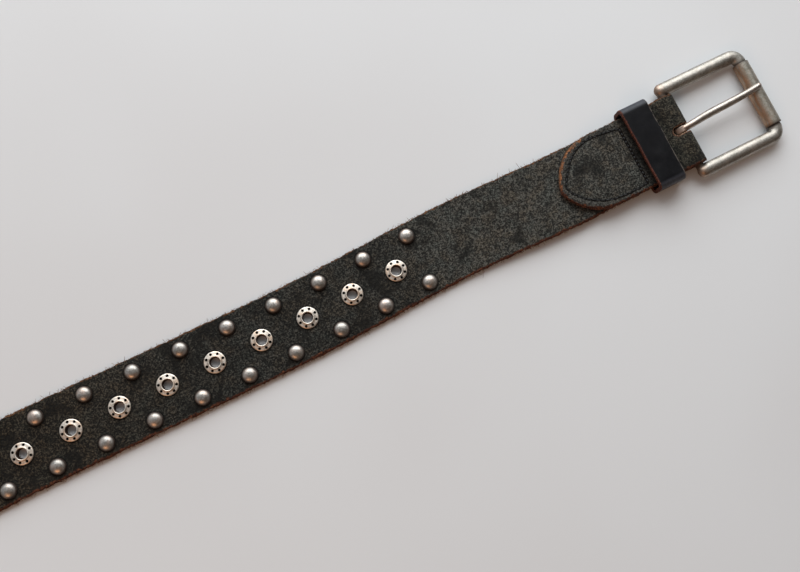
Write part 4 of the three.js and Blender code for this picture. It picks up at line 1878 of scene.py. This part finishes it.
@dataclass
class Prong(Assembly):
    """The pin: an eye bent round the bar and a slim shank that lies on the roller."""

    swell: float = 0.34
    overhang: float = 1.5
    skew: float = math.radians(3.2)
    offset: float = 0.3
    rest: float = 0.15
    slim: float = 0.1
    bend: float = 0.28
    taper: float = 0.12
    eye_round: float = 0.45
    steps: int = 44
    tip_steps: int = 8
    voxel: float = 0.2

    def build(self, material: Material) -> None:
        """Make the prong.

        Args:
            material: Its metal.
        """
        layout = self.layout
        shank = layout.prong_shank_radius - self.slim
        eye = layout.prong_eye_radius
        root = eye - shank
        top = layout.roller_radius + self.rest + shank
        climb = math.atan2(top - root, layout.frame_reach)
        length = layout.frame_reach + self.overhang
        steps, arc = self.steps, self.tip_steps
        places = [(length - shank) * i / steps for i in range(steps + 1)]
        places += [length - shank + shank * math.sin(math.pi / 2 * i / arc) for i in range(1, arc + 1)]
        profile = []
        for x in places:
            swell = self.swell * math.sin(math.pi * min(x / (length * 0.9), 1.0))
            radius = shank + swell - self.taper * (x / length) ** 3
            left = length - x
            if left < shank:
                radius *= math.sqrt(max(1 - (1 - left / shank) ** 2, 0.0))
            profile.append((radius, x))
        profile = [*reversed(profile), (0.0, 0.0)]
        bm = bmesh.new()
        rise = Matrix.Translation((0, 0, root)) @ Matrix.Rotation(math.pi / 2 - climb, 4, "Y")
        lathe(bm, profile, 32, matrix=rise)
        soft = self.eye_round
        end = [(0, shank), (eye - soft, shank), (eye - soft * 0.3, shank - soft * 0.3), (eye, shank - soft)]
        lathe(bm, both_ends(end), 64, matrix=ACROSS)
        bm = Workshop.cast(bm, self.voxel, 3)
        cutter = bmesh.new()
        rod(cutter, eye - layout.prong_eye_wall, 6, 48, ACROSS)
        bm = Workshop.cut(bm, cutter)
        dirt = bm.verts.layers.float.new("dirt")
        for vert in bm.verts:
            x, y, z = vert.co
            # Painted shade with some grime on the eye, which sits round the bar inside the fold.
            vert[dirt] = smoothstep(-x, -1.0, 2.0) * 0.5
            vert.co.y += self.bend * math.sin(math.tau * x / length) * smoothstep(x, 4, 16)
        move = Matrix.Translation((0, self.offset, 0)) @ Matrix.Rotation(self.skew, 4, "Z")
        bmesh.ops.transform(bm, matrix=layout.buckle_matrix() @ move, verts=bm.verts)
        self.shop.piece("prong_pin", bm, material, Body.PRONG, Slot.BUCKLE, ["prong"])


@dataclass
class Trim(Assembly):
    """The pierced eyelets and the domed rivets."""

    bore: float = 2.75
    flange_top: float = 3.6
    lip_top: float = 4.2
    flange_more: float = 0.15
    seed: int = 7
    piercing_radius: float = 0.74
    piercings: int = 8
    first_piercing: float = math.radians(15)
    dome_top: float = 5.5
    dome_foot: float = 2.95
    post_radius: float = 1.3
    eyelet_sides: int = 64
    stud_sides: int = 40
    dome_steps: int = 12
    back: float = 0.02

    def _eyelet(self) -> BMesh:
        """One eyelet about the origin."""
        layout = self.layout
        rim = layout.eyelet_radius + self.flange_more
        barrel = layout.eyelet_barrel_radius
        bore = self.bore
        lip, top = self.lip_top, self.flange_top
        profile = [
            (bore, lip - 0.35), (bore + 0.05, lip - 0.12), (bore + 0.2, lip - 0.02), (bore + 0.36, lip),
            (bore + 0.56, lip - 0.06), (bore + 0.7, lip - 0.22), (bore + 0.8, lip - 0.36),
            (bore + 1.1, top + 0.14), (rim - 0.75, top + 0.03), (rim - 0.4, top - 0.03),
            (rim - 0.14, top - 0.16), (rim, top - 0.42), (rim - 0.02, 2.86), (rim - 0.2, 2.74),
            (barrel, 2.74), (barrel, 0.32), (barrel + 0.75, 0.28), (barrel + 0.95, 0.16),
            (barrel + 0.8, self.back), (bore - 0.05, self.back), (bore - 0.4, 0.25), (bore - 0.32, 0.6),
        ]
        bm = bmesh.new()
        lathe(bm, profile, self.eyelet_sides, closed=True)
        cutter = bmesh.new()
        ring = (barrel + rim) / 2
        for i in range(self.piercings):
            angle = self.first_piercing + i * math.tau / self.piercings
            move = Matrix.Translation((ring * math.cos(angle), ring * math.sin(angle), 3.6))
            bmesh.ops.create_cone(cutter, cap_ends=True, segments=14, radius1=self.piercing_radius,
                                  radius2=self.piercing_radius, depth=2.2, matrix=move)
        return Workshop.cut(bm, cutter)

    def _stud(self) -> BMesh:
        """One domed rivet about the origin."""
        radius = self.layout.stud_radius
        low = self.dome_foot
        rise = self.dome_top - low
        post = self.post_radius
        profile: list[Point] = [(0.0, self.dome_top)]
        for i in range(1, self.dome_steps + 1):
            angle = math.pi / 2 * (i / self.dome_steps)
            profile.append((radius * math.sin(angle) ** 0.98, low + rise * math.cos(angle) ** 0.9))
        profile += [(radius - 0.02, 2.82), (radius - 0.2, 2.7), (post, 2.7), (post, 0.3), (2.1, 0.24),
                    (2.3, 0.12), (2.2, self.back), (0.0, self.back)]
        bm = bmesh.new()
        lathe(bm, profile, self.stud_sides)
        return bm

    @staticmethod
    def _stamp(template: BMesh, move: Matrix, grime_and_shade_at: Measure) -> BMesh:
        """Copy a template to its place and mark its grime and painted shade.

        Args:
            template: The shape about the origin.
            move: Where it goes.
            grime_and_shade_at: Share of grime and painted shade by place on the template.

        Returns:
            The copy.
        """
        bm = template.copy()
        dirt = bm.verts.layers.float.new("dirt")
        for vert in bm.verts:
            vert[dirt] = grime_and_shade_at(vert.co)
        bmesh.ops.transform(bm, matrix=move, verts=bm.verts)
        return bm

    def build(self, eyelet_metal: Material, rivet_metal: Material) -> None:
        """Make all the eyelets and rivets.

        Args:
            eyelet_metal: The eyelets' finish.
            rivet_metal: The rivets' finish.
        """
        layout = self.layout
        rng = random.Random(self.seed)
        eyelet = self._eyelet()

        def eyelet_grime_and_shade(point: Vector) -> float:
            """Dark at the foot of the lip, in the bore and under the rim: painted shade, with some patina in
            the bore.
            """
            radius = math.hypot(point.x, point.y)
            foot = math.exp(-(((radius - 3.62) / 0.22) ** 2)) * 0.4
            wall = smoothstep(-radius, -2.98, -2.8) * smoothstep(-point.z, -4.15, -3.7) * 1.2
            under = smoothstep(-point.z, -3.15, -2.85) * 0.8
            return max(foot, wall, under)

        def stud_grime_and_shade(point: Vector) -> float:
            """Dark round the foot of the dome: painted shade, with some grime."""
            return smoothstep(-point.z, -5.15, -4.0) * 0.95

        for i, u in enumerate(layout.eyelets()):
            turn = math.radians(layout.eyelet_turns[i % len(layout.eyelet_turns)])
            lean = Matrix.Rotation(rng.uniform(-0.008, 0.008), 4, "X")
            move = Matrix.Translation((-u, layout.sway(u), 0)) @ Matrix.Rotation(turn, 4, "Z") @ lean
            bm = self._stamp(eyelet, move, eyelet_grime_and_shade)
            obj = self.shop.piece(f"pierced_eyelet_{i + 1}", bm, eyelet_metal, Body.BELT, Slot.EYELET,
                                  [f"eyelet_{i + 1}"])
            obj.data.set_sharp_from_angle(angle=math.radians(38))
        eyelet.free()
        stud = self._stud()
        for name, u, aside in layout.studs():
            turn = Matrix.Rotation(rng.uniform(0, math.tau), 4, "Z")
            lean = Matrix.Rotation(rng.uniform(-0.02, 0.02), 4, "X")
            move = Matrix.Translation((-u, aside + layout.sway(u), 0)) @ lean @ turn
            bm = self._stamp(stud, move, stud_grime_and_shade)
            self.shop.piece(f"domed_{name}", bm, rivet_metal, Body.BELT, Slot.RIVET, [name])
        stud.free()


@dataclass(frozen=True)
class Panel:
    """A soft light that faces the belt. Lengths are in metres, the power in watts."""

    name: str
    towards: Triple
    away: float
    height: float
    power: float
    colour: Colour
    aim: Triple = (0.15, 0.0, 0.0)
    widening: float = 1.3

    def hang(self) -> None:
        """Add the light."""
        data = bpy.data.lights.new(self.name, "AREA")
        data.shape = "RECTANGLE"
        data.size = self.height * self.widening
        data.size_y = self.height
        data.energy = self.power
        data.color = self.colour
        panel = add_object(self.name, data)
        heading = Vector(self.towards).normalized()
        panel.location = Vector(self.aim) + heading * self.away
        panel.rotation_euler = heading.to_track_quat("Z", "Y").to_euler()


@dataclass
class Studio:
    """A pale table, a large soft window light and the photograph's camera."""

    eye: Triple = (0.19227, -0.05682, 0.5045)
    right: Triple = (0.8904, -0.45041, 0.06568)
    down: Triple = (-0.43854, -0.88754, -0.14123)
    ahead: Triple = (0.12191, 0.09695, -0.9878)
    lens: float = 45.0
    table_half: float = 12.0
    panels: tuple[Panel, ...] = (
        Panel("window", (0.36, 0.78, 0.61), 1.25, 1.05, 17.5, (0.95, 0.98, 1.0)),
        Panel("lamp", (-0.56, -0.58, 0.74), 1.1, 0.42, 1.8, (1.0, 0.54, 0.30)),
    )
    room: tuple[tuple[float, Colour], ...] = (
        (0.0, (0.090, 0.055, 0.036)),
        (0.28, (0.140, 0.105, 0.082)),
        (0.5, (0.250, 0.240, 0.235)),
        (0.72, (0.560, 0.575, 0.600)),
        (1.0, (0.900, 0.950, 1.000)),
    )
    room_tint: Colour = (0.84, 0.85, 0.86)
    backdrop: Colour = (0.60, 0.60, 0.60)

    def camera(self) -> None:
        """Set the camera."""
        data = bpy.data.cameras.new("camera")
        data.lens = self.lens
        data.sensor_width = 36.0
        data.sensor_fit = "HORIZONTAL"
        data.clip_start = 0.01
        data.clip_end = 30.0
        camera = add_object("camera", data)
        axes = Matrix((self.right, [-v for v in self.down], [-v for v in self.ahead])).transposed().to_4x4()
        camera.matrix_world = Matrix.Translation(self.eye) @ axes
        bpy.context.scene.camera = camera

    def table(self) -> None:
        """Lay a pale table top under the belt."""
        bm = bmesh.new()
        bmesh.ops.create_grid(bm, x_segments=1, y_segments=1, size=self.table_half)
        mesh = mesh_of("table", bm)
        material, board = Board.of_material("pale_table")
        place = board.place()
        cloud = board.grain(place, 260.0, 2, 0.5)
        fine = board.grain(place, 1.1, 2, 0.5)
        base = board.mix(cloud.ease(0.35, 0.65), (0.697, 0.695, 0.694), (0.730, 0.738, 0.741))
        rough = fine.ease(0.3, 0.7, 0.62, 0.7)
        board.surface({"Base Color": base, "Roughness": rough, "Specular IOR Level": 0.0})
        mesh.materials.append(material)
        add_object("table", mesh)

    def light(self) -> None:
        """Add the window, a weak warm lamp and the room's own light."""
        for panel in self.panels:
            panel.hang()
        world = bpy.data.worlds.new("room")
        world.use_nodes = True
        bpy.context.scene.world = world
        board = Board(world.node_tree)
        direction = board.add("ShaderNodeTexCoord").outputs["Generated"]
        colour = board.ramp(board.axis(direction, "Y") * 0.5 + 0.5, self.room)
        seen = board.add("ShaderNodeLightPath").outputs["Is Camera Ray"]
        colour = board.mix(seen, board.mix(1.0, colour, self.room_tint, "MULTIPLY"), self.backdrop)
        back = board.add("ShaderNodeBackground", None, {"Color": colour, "Strength": 1.0})
        board.add("ShaderNodeOutputWorld", None, {"Surface": back.outputs[0]})
        bpy.context.scene.view_settings.view_transform = "Standard"


@dataclass
class StuddedBelt:
    """The whole belt, built piece by piece."""

    layout: Layout = field(default_factory=Layout)

    def build(self) -> None:
        """Build every sub-assembly with its finish."""
        layout = self.layout
        shop = Workshop(layout)
        strap = Strap(layout, shop)
        strap.build(Nubuck(layout.bar_x).make("nubuck"))
        # Painted light and shade: the fibres on the upper edge, which faces the window, are paler than those
        # on the lower edge.
        red = Fuzz((0.036, 0.012, 0.007), (0.28, 0.105, 0.045)).make("red_fibres")
        pale = Fuzz((0.044, 0.021, 0.012), (0.40, 0.19, 0.085)).make("pale_fibres")
        EdgeFuzz(strap, shop).build(red, pale)
        Stitching(strap, shop).build(Thread().make("black_thread"))
        Keeper(layout, shop).build(KeeperHide().make("keeper_hide"))

        def heels(board: Board) -> Signal:
            """Copper at the arms' heels."""
            return board.along(layout.bar_x).ease(4.0, -2.5) * 0.6

        def inner_side(board: Board) -> Signal:
            """Copper on the roller's inner side."""
            streak = board.grain(board.place((0, 0, 0), 0.0, (1.0, 0.16, 1.0)), 0.8, 3, 0.65).ease(0.36, 0.62)
            return board.along(layout.bar_x + layout.frame_reach).ease(-0.8, -3.4) * (0.35 + streak * 0.65)

        def back_end(board: Board) -> Signal:
            """Copper at the prong's back end."""
            return board.along(layout.bar_x).ease(9.0, 0.0) * 0.55

        BuckleFrame(layout, shop).build(Metal(worn_spot=heels).make("antique_nickel"))
        tube = Metal(plate=(0.48, 0.455, 0.40), dull=(0.29, 0.262, 0.212), copper_share=0.22,
                     worn_spot=inner_side)
        Roller(layout, shop).build(tube.make("roller_nickel"))
        pin = Metal(plate=(0.56, 0.525, 0.48), dull=(0.33, 0.29, 0.25), copper=(0.50, 0.29, 0.19), gloss=0.32,
                    matte=0.48, copper_share=0.35, worn_spot=back_end)
        Prong(layout, shop).build(pin.make("prong_nickel"))
        # Their darkest colour also paints the shade at their feet and in their bores.
        bright = Metal(plate=(0.92, 0.87, 0.79), dull=(0.68, 0.60, 0.51), copper=(0.76, 0.47, 0.27),
                       shade_and_soot=(0.055, 0.030, 0.019), copper_share=0.55, scratches=0.3)
        rivet = Metal(plate=(0.56, 0.54, 0.505), dull=(0.32, 0.29, 0.255), copper=(0.48, 0.25, 0.14),
                      shade_and_soot=(0.034, 0.018, 0.011), gloss=0.28, matte=0.44, copper_share=0.35, scratches=0.35)
        Trim(layout, shop).build(bright.make("eyelet_nickel"), rivet.make("rivet_nickel"))


def main() -> None:
    """Build the belt on its frame and set the scene round it."""
    logging.basicConfig(level=logging.INFO, format="%(name)s %(message)s")
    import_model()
    studio = Studio()
    studio.camera()
    StuddedBelt().build()
    studio.table()
    studio.light()
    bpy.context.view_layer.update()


if __name__ == "__main__":
    main()
